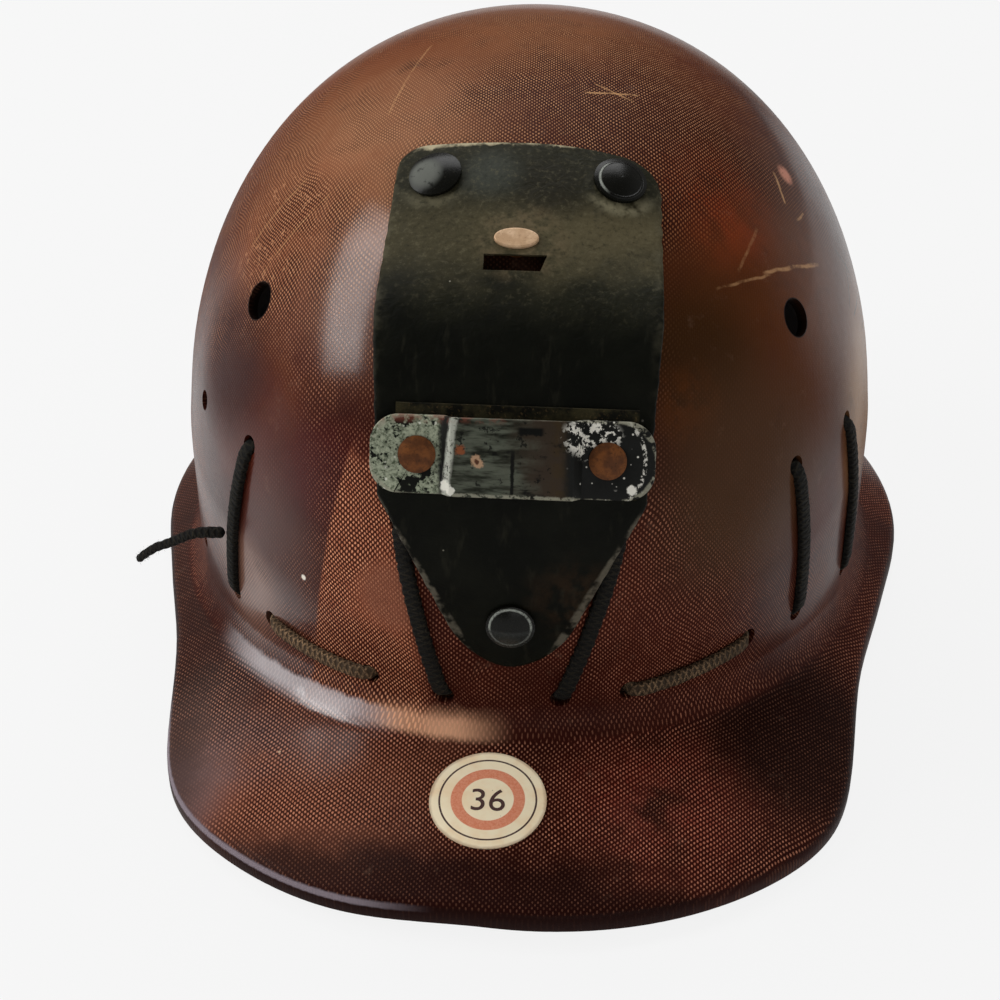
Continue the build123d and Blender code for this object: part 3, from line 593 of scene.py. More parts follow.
    # bare resin shines where the cloth isn't rubbed
    gloss = r.near((-80, -66, 34), 66, 26) * 0.6 + r.near((-42, -74, 92), 34, 12) * 0.6
    gloss = gloss + r.near((-62, -106, -22), 44, 16) * 1.1 + r.near((86, -66, 10), 50, 20) * 0.3
    gloss = gloss + r.ramp(y, 20, 60) * 0.5 + r.near((98, -10, 74), 62, 26) * 0.55
    coat = (gloss * (1 - wedge * 0.8)).least(1.0)
    dull = r.near((-84, -62, 62), 32, 12) + r.near((-62, -84, 64), 26, 8) * 0.6
    dull = dull.least(1.0)
    coat = coat * (1 - show * 0.35) * (1 - dull * 0.75) + 0.01
    coat = coat * (1 - inner) * r.ramp(outside, 0, 1, 0.3, 1)
    return r.finish(Roughness=rough, Coat_Weight=coat)


def panel_finish():
    """Thick black leather, dusty above the slot with a painted sheen there, scuffed pale along its
    edges.
    """
    r = Recipe("panel_leather", Specular_IOR_Level=0.07)
    x = r.dome_place()[0] - BRACKET_SHIFT
    level = r.dot(BRACKET_UP)
    side = abs(x)
    cloud = r.noise(18, 3, 0.6)
    blot = r.noise(6, 3, 0.65)
    creases = r.noise(4.2, 3, 0.65, 0.8)
    r.base(r.ramp(cloud, 0.35, 0.7), (5, 6, 2), (13, 14, 7))
    # leather greyer and dustier toward the top: dust, with the overhead light's sheen painted in
    grey_sheen_and_dust = r.ramp(level + (cloud - 0.5) * 20, 6, 30)
    r.paint(grey_sheen_and_dust * 0.8, 36, 35, 22)
    dusty = r.ramp(level + (cloud - 0.5) * 22 - x * 0.1, 18, 34) * r.ramp(level, 50, 38)
    r.paint(dusty * r.ramp(x + (blot - 0.5) * 30, -30, 20, 0.45, 1.0), 80, 73, 52)
    r.paint(r.near(on_dome(8, 48), 15, 4) * 0.7, 28, 25, 15)
    r.paint(r.near(on_dome(-8, 52), 12, 3) * 0.5, 66, 70, 64)
    low_rub = r.near(on_dome(18, -58), 18, 4) * r.ramp(blot, 0.35, 0.65)
    r.paint(low_rub * 0.7, 44, 30, 16)
    for spot in stud_spots:
        halo = r.near(spot, 12.5, 9.0) * r.ramp(level, 49.5, 44) * r.ramp(blot, 0.3, 0.55)
        r.paint(halo * r.ramp(x, -10, 10, 0.35, 0.9), 128, 122, 98)
    round_slot = r.near(on_dome(0, 31, BRACKET_SHIFT), 15, 8)
    r.paint(round_slot * r.ramp(blot, 0.4, 0.6) * 0.6, 100, 86, 64)
    for corner in ((-9.5, 26.0), (8.6, 27.5)):
        frayed = r.near(on_dome(*corner, BRACKET_SHIFT), 4.6, 3.2)
        frayed = frayed * r.ramp(r.noise(0.9, 2, 0.7), 0.53, 0.6)
        r.paint(frayed * 0.8, 168, 160, 136)
    mealy = r.noise(1.5, 4, 0.75)
    r.paint(r.ramp(mealy, 0.5, 0.75) * grey_sheen_and_dust * 0.4, 104, 98, 76)
    r.paint(r.ramp(mealy, 0.48, 0.3) * grey_sheen_and_dust * 0.5, 20, 20, 11)
    rubbed = r.ramp(r.noise(5, 3, 0.7, stretch=(1, 0.3, 0.3)), 0.55, 0.75)
    r.paint(rubbed * 0.22, 60, 58, 46)
    edge = r.ramp(side + (creases - 0.5) * 3, 34.0, 37.5) * r.ramp(level, -36, -30)
    r.paint(edge * r.ramp(blot, 0.4, 0.62) * r.ramp(level, -6, 24, 0.12, 0.5), 84, 80, 64)
    brow = level + side**2 * 0.0022 + (creases - 0.5) * 2.6
    brow = r.ramp(brow, PANEL_TOP - 1, PANEL_TOP)
    r.paint(brow * r.ramp(blot, 0.35, 0.55), 168, 158, 130)
    taper = r.ramp(side + (level + 36) * -0.62 - 20 + (creases - 0.5) * 1.2, 14.2, 15.2)
    r.paint(taper * r.ramp(level, -34, -40) * r.ramp(blot, 0.4, 0.6) * 0.55, 112, 106, 92)
    flecks = r.specks(3.4, 0.5, 0.55) * r.ramp(x, 32.5, 35.5) * r.ramp(level, -40, -20)
    flecks = flecks * r.ramp(level, 26, 12) + r.near(on_dome(36.5, 12), 1.6, 0.8)
    r.paint(flecks * 0.9, 214, 208, 192)
    r.paint(r.specks(9, 0.3, 0.4) * 0.6, 150, 146, 130)
    r.bump(r.pores(1.1), 0.10, 0.5)
    r.bump(creases, 0.4, 0.7)
    return r.finish(Roughness=0.5 + creases * 0.16 + dusty * 0.12)


def bar_finish():
    """Black painted steel, worn to grey-green metal at the left, flecked white at the right."""
    r = Recipe("worn_bar", Specular_IOR_Level=0.15)
    x = r.dome_place()[0] - BRACKET_SHIFT
    low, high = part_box("lamp_hook_bar")
    level = r.dot(BRACKET_UP) - unstood((low + high) / 2).dot(BRACKET_UP)
    cloud = r.noise(8, 4, 0.68)
    blot = r.noise(3.2, 3, 0.65)
    grit = r.noise(1.1, 3, 0.7)
    streak = r.noise(1.9, 3, 0.6, stretch=(0.22, 1, 1))
    black = r.colour = ink(7, 8, 5)
    left = r.ramp(x + (blot - 0.5) * 2.5, -18.2, -19.8)
    centre = r.ramp(x, -16.5, -15.2) * r.ramp(x + (blot - 0.5) * 5, 14.5, 12.0)
    grey = r.mix(r.ramp(grit, 0.3, 0.65), ink(72, 80, 62), ink(156, 162, 140))
    r.paint(left * r.ramp(blot + (grit - 0.5) * 0.5, 0.30, 0.40), grey)
    r.paint(left * r.ramp(blot + (cloud - 0.5) * 0.8, 0.57, 0.63), 12, 14, 9)
    r.paint(left * r.specks(1.5, 0.4, 0.5) * 0.8, 20, 22, 15)
    worn = r.mix(r.ramp(streak, 0.35, 0.62), ink(34, 36, 27), ink(84, 88, 76))
    worn = r.mix(r.ramp(x + (cloud - 0.5) * 16, -4, 9), worn, ink(52, 42, 32))
    r.paint(centre * r.ramp(cloud + (streak - 0.5) * 0.6, 0.26, 0.42), worn)
    r.paint(r.ramp(x, 9, 12) * r.ramp(x, 15.5, 13) * r.ramp(blot, 0.35, 0.6) * 0.6, 58, 44, 22)
    pit = r.ramp(blot + (grit - 0.5) * 0.4, 0.62, 0.68) * centre
    r.paint(pit * 0.85, black)
    blotch = r.ramp(x, 0.8, 2.2) * r.ramp(x, 8.6, 7.4)
    blotch = blotch * r.ramp(level + (grit - 0.5) * 1.6, 5.2, 6) * r.ramp(level, 8, 7.2)
    r.paint(blotch, black)
    seam = r.ramp(abs(x - 0.3 + (grit - 0.5) * 0.8), 0.7, 0.25)
    r.paint(seam * r.ramp(level, 3, 0), 10, 11, 7)
    # bright wear down the left step and black beside it
    slip = (blot - 0.5) * 1.2 - level * 0.10
    stripe = r.ramp(abs(x + 16.1 + slip), 1.5, 0.5)
    r.paint(stripe * r.ramp(grit + (blot - 0.5) * 0.6, 0.34, 0.5), 170, 172, 160)
    pale = (222, 220, 208)
    for spot, width, tone in (
        ((-13.3, 1.3), 1.7, (132, 74, 44)),
        ((-8.9, -1.5), 1.9, (176, 142, 112)),
        ((-8.9, -1.5), 0.8, (70, 32, 18)),
        ((-17.2, -7.6), 1.6, pale),
        ((-15.6, -9.2), 1.2, pale),
    ):
        off = r.span(x - spot[0], level - spot[1])
        off = off + (grit - 0.5) * width * 1.3 + (blot - 0.5) * width
        r.paint(r.ramp(off, width, width * 0.6) * 0.92, *tone)
    # white paint: a splash above the right rivet, arcs at the right end, dots below
    off = r.span((x - 20.5) * 0.8, (level - 5.8) * 1.1)
    splash = r.ramp(off, 7.2, 4.2) * r.ramp(blot + (grit - 0.5) * 0.7, 0.52, 0.57)
    off = r.span(x - 21.0, level)
    arc = r.ramp(abs(off - 13.4), 0.7, 0.3) * r.ramp(x, 28, 31)
    splash = splash + arc * r.ramp(grit, 0.5, 0.58) * 0.8
    splash = splash + r.specks(2.2, 0.6, 0.35) * r.ramp(level, -6.8, -8.4) * r.ramp(x, 14, 20)
    off = r.span(x - 31.0, level + 7.0) + (grit - 0.5) * 1.8
    splash = splash + r.ramp(off, 1.5, 1.0) + r.specks(1.6, 0.34, 0.4) * r.ramp(x, 13, 20) * 0.8
    r.paint(splash.least(1.0), 222, 219, 208)
    # light worn line round the outline
    outline = r.span((abs(x) - 27.2).most(0), level)
    rim = r.ramp(outline + (grit - 0.5) * 0.9, 9.4, 10.0)
    r.paint(rim * r.ramp(blot + (grit - 0.5) * 0.5, 0.42, 0.52) * 0.75, 150, 148, 130)
    white = r.specks(2.1, 0.5, 0.4) * left * r.ramp(grit, 0.35, 0.5)
    r.paint(white * 0.85, 206, 206, 192)
    rust = r.ramp(level, 7.6, 9.4) * r.ramp(x, 2, -6) * r.ramp(blot, 0.4, 0.55)
    r.paint(rust * 0.5, 120, 62, 46)
    r.bump(blot * 0.4 + grit * 0.6, 0.16, 0.7)
    return r.finish(Roughness=0.45 + grit * 0.2, Metallic=left.most(centre) * 0.35)


def stud_finish():
    """Black painted stud caps, the left upper one scuffed grey; painted highlights on the rims of
    two, and a painted grey reflection low on the bottom one.
    """
    r = Recipe("stud_black", Specular_IOR_Level=0.14)
    x, _, z = r.dome_place()
    grit = r.noise(0.8, 3, 0.7)
    blot = r.noise(2.4, 3, 0.7)
    scuff = r.near(stud_spots[0] + Vector((-2.2, -1.0, 1.0)), 6.6, 4.6) * r.ramp(blot, 0.25, 0.45)
    r.base(scuff, (12, 12, 8), (92, 94, 88))
    cap_ring = 0
    tip = on_dome(0, TIP_LEVEL, BRACKET_SHIFT)
    # painted highlights: a crescent on the right stud's rim, a ring round the bottom one
    for spot, radius, start, end in ((stud_spots[1], 5.9, -1.5, -4.0), (tip, 5.6, 30.0, 2.0)):
        ring = r.ramp(abs(r.off_axis(spot, skin_way(spot)) - radius), 0.45, 0.15)
        ring = ring * r.near(spot, 9.5, 9.0)
        cap_ring = cap_ring + ring
        lit = ring * r.ramp(x - spot.x, start, end) * r.ramp(grit, 0.3, 0.5)
        r.paint(lit * 0.85, 150, 154, 146)
    # painted reflection: grey on the bottom stud's lower half
    low = r.near(tip, 9, 8.5) * r.ramp(z, tip.z + 0.6, tip.z - 0.4)
    r.paint(low * 0.7, 46, 48, 46)
    r.paint(r.ramp(grit, 0.64, 0.74) * 0.4, 70, 64, 50)
    r.bump(cap_ring, 0.25, 0.8)
    r.bump(grit, 0.05, 0.5)
    return r.finish(Roughness=0.27 + scuff * 0.4 + r.ramp(grit, 0.5, 0.8) * 0.15)


def metal_finish(name, dark, light, spacing, metallic, rough, tarnish, sheen=0.5):
    """Small metal pieces and thread: two tones, tarnish in blotches, fine scuffs."""
    r = Recipe(name, Specular_IOR_Level=sheen)
    r.rest_place()
    cloud = r.noise(spacing, 3, 0.6)
    grit = r.noise(0.7, 2, 0.6)
    r.base(r.ramp(cloud, 0.35, 0.65), dark, light)
    r.paint(r.ramp(grit, 0.55, 0.75) * 0.6, *tarnish)
    r.bump(grit * 0.5 + cloud * 0.5, 0.10, 0.6)
    return r.finish(Roughness=rough + (grit - 0.5) * 0.2, Metallic=metallic)


def lace_finish():
    """Braided thong: crossing strands, dusty on their crowns beside the panel."""
    r = Recipe("lace", Specular_IOR_Level=0.2)
    r.rest_place()
    along, across = r.thread_place()
    plait = 1.9
    one = ((along * 2 + across) * (math.pi / plait)).of("SINE")
    two = ((along * 2 - across) * (math.pi / plait)).of("SINE")
    strands = one.most(two)
    fuzz = r.noise(0.5, 3, 0.8)
    blotch = r.noise(7, 3, 0.6)
    lit = r.ramp(strands, 0.2, 1.0) * r.ramp(fuzz, 0.35, 0.65)
    lit = lit * r.ramp(blotch, 0.3, 0.7, 0.35, 1.0)
    r.base(lit, (9, 8, 6), (44, 39, 28))
    r.dome_place()
    dusty = r.near(skin_point(-31, -6.6), 30, 20) + r.near(skin_point(29.5, -5.6), 30, 20) * 0.7
    r.paint(dusty * (0.12 + lit * 0.85), 172, 138, 104)
    r.bump(strands * 0.5 + fuzz * 0.5, 0.4, 0.9)
    return r.finish(Roughness=0.75 + fuzz * 0.2)


def webbing_finish():
    """Twilled cotton webbing, ribbed across its cords and soiled in patches."""
    r = Recipe("webbing", Specular_IOR_Level=0.2, Sheen_Weight=0.2)
    r.rest_place()
    along, across = r.thread_place()
    rib = ((along + across * 0.8) * (math.pi * 2 / 1.5)).of("SINE")
    cord = (across * (math.pi * 2 / 1.1)).of("SINE")
    fuzz = r.noise(0.8, 3, 0.7)
    soil = r.noise(20, 3, 0.6)
    r.base(r.ramp(soil, 0.35, 0.7), (112, 98, 72), (146, 130, 98))
    r.paint(r.ramp(rib * cord, 0.2, -0.8) * 0.5, 70, 58, 40)
    r.paint(r.ramp(fuzz, 0.55, 0.75) * 0.3, 176, 162, 130)
    r.bump(rib * 0.25 + cord * 0.25 + fuzz * 0.5, 0.3, 0.9)
    return r.finish(Roughness=0.8 + fuzz * 0.15)


def cradle_finish():
    """Tan leather of the cradle, darkened by sweat, creased and speckled."""
    r = Recipe("cradle_leather", Specular_IOR_Level=0.35)
    r.rest_place()
    creases = r.noise(6, 4, 0.65, 0.6)
    sweat = r.noise(32, 3, 0.6)
    r.base(r.ramp(sweat, 0.35, 0.65), (112, 68, 40), (66, 38, 24))
    r.paint(r.ramp(creases, 0.58, 0.75) * 0.5, 44, 26, 18)
    r.paint(r.specks(7, 0.5, 0.4) * 0.4, 150, 106, 70)
    r.bump(r.pores(0.9), 0.12, 0.5)
    r.bump(creases, 0.5, 0.6)
    return r.finish(Roughness=0.5 + creases * 0.25)


def label_finish():
    """Cream paper with a coral ring round its number and a thin line near the edge."""
    r = Recipe("paper", Specular_IOR_Level=0.15)
    x, y, _ = r.dome_place()
    reach = r.span(x - LABEL[0], y - LABEL[1])
    grain = r.noise(0.6, 3, 0.7)
    stain = r.noise(7, 3, 0.6)

    def ring(radius, half):
        return r.ramp(abs(reach - radius), half + 0.12, half - 0.05)

    r.base(r.ramp(stain, 0.4, 0.75), (255, 240, 206), (250, 224, 184))
    coral = r.mix(r.ramp(grain, 0.3, 0.75), ink(222, 132, 98), ink(234, 162, 130))
    r.paint(ring(8.6, 1.5), coral)
    r.paint(ring(13.2, 0.22) * r.ramp(grain, 0.2, 0.4), 74, 52, 50)
    r.paint(r.ramp(reach + (stain - 0.5) * 1.2, 15.0, 16.0) * 0.5, 150, 112, 84)
    r.paint(r.specks(2.6, 0.16, 0.4) * 0.6, 96, 70, 56)
    r.bump(grain, 0.06, 0.5)
    return r.finish(Roughness=0.7 + grain * 0.1)


def print_finish():
    """Dark brown printing ink, uneven."""
    r = Recipe("print", Specular_IOR_Level=0.1)
    r.rest_place()
    r.base(r.noise(0.4, 2, 0.7), (66, 46, 46), (96, 72, 66))
    return r.finish(Roughness=0.8)


def floor_finish():
    """Pale floor that keeps the helmet's shadow and is a plain backdrop away from it."""
    r = Recipe("floor", Roughness=0.6, Specular_IOR_Level=0.1)
    x, y, _ = r.rest_place()
    r.base(r.noise(300, 2), BACKDROP, (245, 245, 246))
    rays = r.node("LightPath", {}, {}, None).outputs
    kinds = ("Is Camera Ray", "Is Glossy Ray", "Is Transmission Ray")
    camera_ray, glossy_ray, passing_ray = (Wire(r, rays[kind]) for kind in kinds)
    glow = r.node("Emission", {}, {"Color": ink(*BACKDROP), "Strength": 1.0})
    beyond = r.ramp(r.span(x / 104, y / 146), 0.8, 1.0, 0.0, 0.94)
    share = (camera_ray + glossy_ray + passing_ray) * beyond
    both = r.node("MixShader", {}, {0: share, 1: r.surface, 2: glow})
    r.fill(r.output, {"Surface": both})
    return r.finish()


# Making pieces
def node_mesh(node):
    """A merged copy of a solid's surface, so that its faces shade as one."""
    sheet = bmesh.new()
    sheet.from_mesh(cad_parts[node].data)
    bmesh.ops.remove_doubles(sheet, verts=sheet.verts, dist=2e-6)
    return sheet


def finished(name, sheet, material, smooth=None):
    """A bmesh or a mesh turned into a shown object that rides with the helmet."""
    if isinstance(sheet, bpy.types.Mesh):
        mesh = sheet
        mesh.name = name
    else:
        mesh = bpy.data.meshes.new(name)
        sheet.to_mesh(mesh)
        sheet.free()
    mesh.materials.clear()
    mesh.materials.append(material)
    made = bpy.data.objects.new(name, mesh)
    bpy.context.scene.collection.objects.link(made)
    for polygon in mesh.polygons:
        polygon.use_smooth = True
    if smooth is not None:
        mesh.set_sharp_from_angle(angle=math.radians(smooth))
    return made


def settled(made):
    """The object with its modifiers worked into its mesh."""
    graph = bpy.context.evaluated_depsgraph_get()
    mesh = bpy.data.meshes.new_from_object(made.evaluated_get(graph))
    made.modifiers.clear()
    made.data = mesh
    return made


def bevelled(node, material, width):
    """A rigid solid with its edges eased, in place of its CAD node."""
    sheet = node_mesh(node)
    flat = math.radians(1)
    bmesh.ops.dissolve_limit(sheet, angle_limit=flat, verts=sheet.verts, edges=sheet.edges)
    made = finished(node + "_worn", sheet, material)
    ease = made.modifiers.new("ease", "BEVEL")
    ease.width = width / 1000
    ease.segments = 2
    ease.angle_limit = math.radians(32)
    settled(made)
    made.data.set_sharp_from_angle(angle=math.radians(40))
    return made


def smooth_line(points):
    """Points of the order 3 NURBS line through the stood route's control points."""
    curve = bpy.data.curves.new("route", "CURVE")
    curve.dimensions = "3D"
    spline = curve.splines.new("NURBS")
    spline.points.add(len(points) - 1)
    for knot, point in zip(spline.points, points):
        knot.co = (*stood(point), 1.0)
    spline.order_u = 3
    spline.use_endpoint_u = True
    spline.resolution_u = 12
    holder = bpy.data.objects.new("route", curve)
    bpy.context.scene.collection.objects.link(holder)
    graph = bpy.context.evaluated_depsgraph_get()
    line = bpy.data.meshes.new_from_object(holder.evaluated_get(graph))
    found = [vertex.co.copy() for vertex in line.vertices]
    bpy.data.objects.remove(holder)
    return found


def even(points, step):
    """The same line with points a step apart, in metres."""
    line = np.array(points)
    runs = np.linalg.norm(np.diff(line, axis=0), axis=1)
    reach = np.concatenate([[0], np.cumsum(runs)])
    count = max(int(reach[-1] / step), 2)
    marks = np.linspace(0, reach[-1], count + 1)
    columns = [np.interp(marks, reach, line[:, i]) for i in range(3)]
    return [Vector(row) for row in np.stack(columns, 1)], marks


def skinned(sheet, rings, closed=False, uv=None):
    """Quads from ring to ring, round again if closed and capped if not.

    The map of place k on ring i is uv(i, k).
    """
    layer = uv and sheet.loops.layers.uv.new("cloth")
    following = rings[1:] + rings[:1] if closed else rings[1:]
    for i, (one, two) in enumerate(zip(rings, following)):
        for k in range(len(one)):
            nxt = (k + 1) % len(one)
            quad = sheet.faces.new((one[k], two[k], two[nxt], one[nxt]))
            if uv:
                corners = ((i, k), (i + 1, k), (i + 1, k + 1), (i, k + 1))
                for loop, corner in zip(quad.loops, corners):
                    loop[layer].uv = uv(*corner)
    if not closed:
        sheet.faces.new(rings[0])
        sheet.faces.new(reversed(rings[-1]))
    bmesh.ops.recalc_face_normals(sheet, faces=sheet.faces)
    return sheet


def turned_sheet(rings, closed=False):
    """Skin over rings of points in the dome's frame."""
    sheet = bmesh.new()
    return skinned(sheet, [[sheet.verts.new(stood(p)) for p in ring] for ring in rings], closed)


def ahead_of(line, i):
    """The way that a line of points runs at one of them."""
    return (line[min(i + 1, len(line) - 1)] - line[max(i - 1, 0)]).normalized()


def squared(wave):
    """A sine or cosine swollen a little towards a square one."""
    return math.copysign(abs(wave) ** 0.8, wave)


def off_dome(here):
    """The way out of the dome at a place near it, as the helmet stands."""
    return STAND.to_3x3() @ skin_way(unstood(here))


def thong(name, points, wide, thick, relief=0.1, step=0.0009, taper=0.0):
    """Braided flat lace along a line: its strands stand up in the mesh itself."""
    line, marks = even(points, step)
    sheet = bmesh.new()
    sides, strand_turn = 16, 1900
    around = (wide + thick) * 1.5
    rings = []
    for i, here in enumerate(line):
        ahead = ahead_of(line, i)
        face = off_dome(here)
        face = (face - ahead * face.dot(ahead)).normalized()
        side = ahead.cross(face)
        end = min(i, len(line) - 1 - i) * step
        close = math.sqrt(max(1 - (1 - min(end / (wide * 0.5), 1)) ** 2, 0.04))
        thin = 1 - taper * marks[i] / marks[-1]
        wind = marks[i] * strand_turn
        ring = []
        for k in range(sides):
            turn = 2 * math.pi * k / sides
            crest = max(math.sin(wind + turn * 2), math.sin(wind - turn * 2))
            rough = noise.noise(here * 900 + Vector((k * 0.7, 0, 0))) * 0.10
            grow = (1 + relief * (crest - 0.5) + rough) * close * thin
            bulge, rise = squared(math.cos(turn)), squared(math.sin(turn))
            spot = here + (side * bulge * wide / 2 + face * rise * thick / 2) * grow
            ring.append(sheet.verts.new(spot))
        rings.append(ring)
    skinned(sheet, rings, uv=lambda i, k: (marks[i], around * k / sides))
    return finished(name, sheet, lace_black)


# Lace and its tail
RIGHT_STITCHES = (
    ((165.0, 0.065), (166.5, -0.345)),
    ((156.0, -0.33), (139.5, -0.305)),
    ((126.5, -0.28), (125.5, 0.145)),
    ((103.0, 0.2), (104.0, -0.25)),
    ((68.3, -0.157), (67.0, 0.296)),
    ((50.6, 0.338), (51.0, -0.078)),
    ((39.6, -0.04), (19.0, -0.05)),
    ((8.4, -0.042), (17.6, 0.38)),
)
LEFT_STITCHES = (
    ((-165.0, 0.065), (-166.5, -0.345)),
    ((-156.0, -0.33), (-139.5, -0.305)),
    ((-126.5, -0.28), (-125.5, 0.145)),
    ((-103.0, 0.2), (-104.0, -0.25)),
    ((-66.5, -0.12), (-64.7, 0.314)),
    ((-47.6, 0.364), (-51.3, -0.086)),
    ((-41.0, -0.06), (-21.3, -0.047)),
    ((-9.3, -0.048), (-16.6, 0.38)),
)
# one stitch's worth of lace has slipped inside on the left, and one stitch lies over the brim
SLIPPED = 4
BRIM_STITCH = 6
# straps' eyes: after which stitch the lace runs through one, and where
EYES = ((1, 134.0, -0.295), (3, 90.0, -0.22), (5, 46.0, -0.066))
TAIL = (
    (-84.2, -80.2, 12.0),
    (-88.6, -80.3, 12.2),
    (-94.6, -79.2, 10.4),
    (-101.2, -77.6, 5.2),
    (-107.7, -76.0, 1.4),
    (-112.7, -74.6, -4.6),
)
LACE_LIFT = 0.9
LACE_BEHIND = -5.4
EYE_INSET = 4.2


def eye_spot(angle, share):
    """Middle of the strap's eye that the lace runs through inside the shell."""
    foot = skin_foot(angle, share * DOME[2])
    flat = Vector((foot.x, foot.y, 0)).normalized()
    return foot - flat * (EYE_INSET - LACE_BEHIND)


def side_route(stitches, sign, slipped=None):
    """The lace's control points on one side, out and in through each stitch's two holes."""
    route = []
    for i, (start, end) in enumerate(stitches):
        if i == slipped:
            angle, share = ((a + b) / 2 for a, b in zip(start, end))
            route.append(skin_point(angle, share * DOME[2], LACE_BEHIND))
            continue
        points = [skin_point(a, s * DOME[2], LACE_LIFT) for a, s in (start, end)]
        steps = max(round((points[1] - points[0]).length / 16.0) + 1, 3)
        route += [skin_point(start[0], start[1] * DOME[2], LACE_BEHIND), points[0]]
        for k in range(1, steps):
            share = k / steps
            angle = start[0] + (end[0] - start[0]) * share
            height = (start[1] + (end[1] - start[1]) * share) * DOME[2]
            route.append(skin_point(angle, height, LACE_LIFT + 0.4 * math.sin(math.pi * share)))
        route += [points[1], skin_point(end[0], end[1] * DOME[2], LACE_BEHIND)]
        route += [eye_spot(sign * angle, share) for after, angle, share in EYES if after == i]
    return route


lace_black = lace_finish()
right_way = side_route(RIGHT_STITCHES, 1)
left_way = side_route(LEFT_STITCHES, -1, SLIPPED)
knot_middle = (right_way[0] + left_way[0]) / 2
knot_side = Vector((6.0, 0, 0))
lace_way = [knot_middle + knot_side] + right_way + left_way[::-1] + [knot_middle - knot_side]
lace = thong("shell_lace_braid", smooth_line(lace_way), 0.0046, 0.0026)
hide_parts("shell_lace")
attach(lace, "root")

tail_line = smooth_line(TAIL)
tail = thong("lace_tail_braid", tail_line, 0.0034, 0.0028, 0.08, 0.0005, 0.3)
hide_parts("lace_tail")
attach(tail, "root")


# Shell and label
shell = finished("shell_cloth", node_mesh("shell"), laminate_finish(), 30)
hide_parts("shell")
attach(shell, "root")


def coated(node, material):
    """A CAD node that stays, with a finish of its own."""
    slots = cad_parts[node].data.materials
    slots.clear()
    slots.append(material)


coated("paper_label", label_finish())


def label_number(text, height):
    """A printed number lying on the label, just proud of its paper."""
    letters = bpy.data.curves.new("number", "FONT")
    letters.body = text
    letters.size = height * 1.38
    letters.align_x = "CENTER"
    letters.extrude = 0.04
    holder = bpy.data.objects.new("number", letters)
    bpy.context.scene.collection.objects.link(holder)
    graph = bpy.context.evaluated_depsgraph_get()
    flat = bpy.data.meshes.new_from_object(holder.evaluated_get(graph))
    bpy.data.objects.remove(holder)
    for vertex in flat.vertices:
        x, y = LABEL[0] + vertex.co.x, LABEL[1] + vertex.co.y - height / 2
        vertex.co = stood((x, y, brim_level(x, y) + 0.34 + vertex.co.z))
    return flat


number = finished("label_number", label_number("36", 7.4), print_finish(), 30)
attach(number, "root")


# Leather panel
PANEL_THICK, PANEL_EDGE = 2.6, 0.9


def panel_half_width(level, share):
    """Half width of the panel with its rounded corners, the upper right one rounder."""
    width = np.interp(level, (PANEL_FOOT, -36.0, 12.0, PANEL_TOP), (11.0, 35.2, 38.0, 35.8))
    for corner, radius in ((PANEL_TOP, 13.0 if share > 0 else 8.0), (PANEL_FOOT, 11.0)):
        inside = abs(level - corner)
        if inside < radius:
            width -= radius - math.sqrt(max(radius**2 - (radius - inside) ** 2, 0.0))
    return max(width, 0.6)


def leather_panel():
    """The panel as a closed sheet that bows over the bar and lies on the dome elsewhere."""
    quarter = math.pi / 2
    levels = [PANEL_FOOT + 13 * (1 - math.cos(t)) for t in np.linspace(0.12, quarter, 9)]
    levels += list(np.linspace(-64.9, 52.5, 84))
    levels += [PANEL_TOP - 9 * (1 - math.cos(t)) for t in np.linspace(quarter - 0.1, 0.12, 9)]
    columns = 45
    sheet = bmesh.new()
    layers = []
    for front in (True, False):
        rows = []
        for level in levels:
            row = []
            for k in range(columns):
                share = math.sin((k / (columns - 1) - 0.5) * math.pi)
                half = panel_half_width(level, share)
                nick = noise.noise(Vector((level * 0.35, share * 2, 1.0))) * 0.35
                x = BRACKET_SHIFT + (half + nick * abs(share)) * share
                arch = max(level - 35.0, 0.0) / 28 * share**2 * (2.4 if share > 0 else 0.9)
                ends = min(level - PANEL_FOOT, PANEL_TOP - level) + 0.7
                rim = min(half * (1 - abs(share)), ends)
                worn = PANEL_EDGE - min(rim, PANEL_EDGE)
                soft = PANEL_EDGE - math.sqrt(max(PANEL_EDGE**2 - worn**2, 0.0))
                wave = noise.noise(Vector((x * 0.05, level * 0.05, 3.0))) * 0.5
                wave += noise.noise(Vector((x * 0.16, level * 0.09, 7.0))) * 0.22
                lift = PANEL_THICK - soft + wave * min(rim / 4, 1) if front else soft * 0.6
                spot = bracket_point(x, level - arch, leather_depth(x, level - arch) + lift)
                row.append(sheet.verts.new(stood(spot)))
            rows.append(row)
        layers.append(rows)
    count = len(levels)
    for rows, flip in zip(layers, (False, True)):
        for i in range(count - 1):
            for k in range(columns - 1):
                quad = [rows[i][k], rows[i][k + 1], rows[i + 1][k + 1], rows[i + 1][k]]
                sheet.faces.new(quad[::-1] if flip else quad)
    rim = [(i, 0) for i in range(count)] + [(count - 1, k) for k in range(1, columns)]
    rim += [(i, columns - 1) for i in range(count - 2, -1, -1)]
    rim += [(0, k) for k in range(columns - 2, 0, -1)]
    for (a, b), (c, d) in zip(rim, rim[1:] + rim[:1]):
        sheet.faces.new((layers[0][a][b], layers[0][c][d], layers[1][c][d], layers[1][a][b]))
    bmesh.ops.recalc_face_normals(sheet, faces=sheet.faces)
    return sheet


def slot_cutter():
    """What cuts the slanted slot: its outline drawn through the leather."""
    outline = ((-8.4, 24.5), (6.8, 24.5), (8.4, 29.1), (-8.4, 29.1))
    return turned_sheet([
        [bracket_point(x, level, leather_depth(x, level) + lift) for x, level in outline]
        for lift in (-6.0, 9.0)
    ])


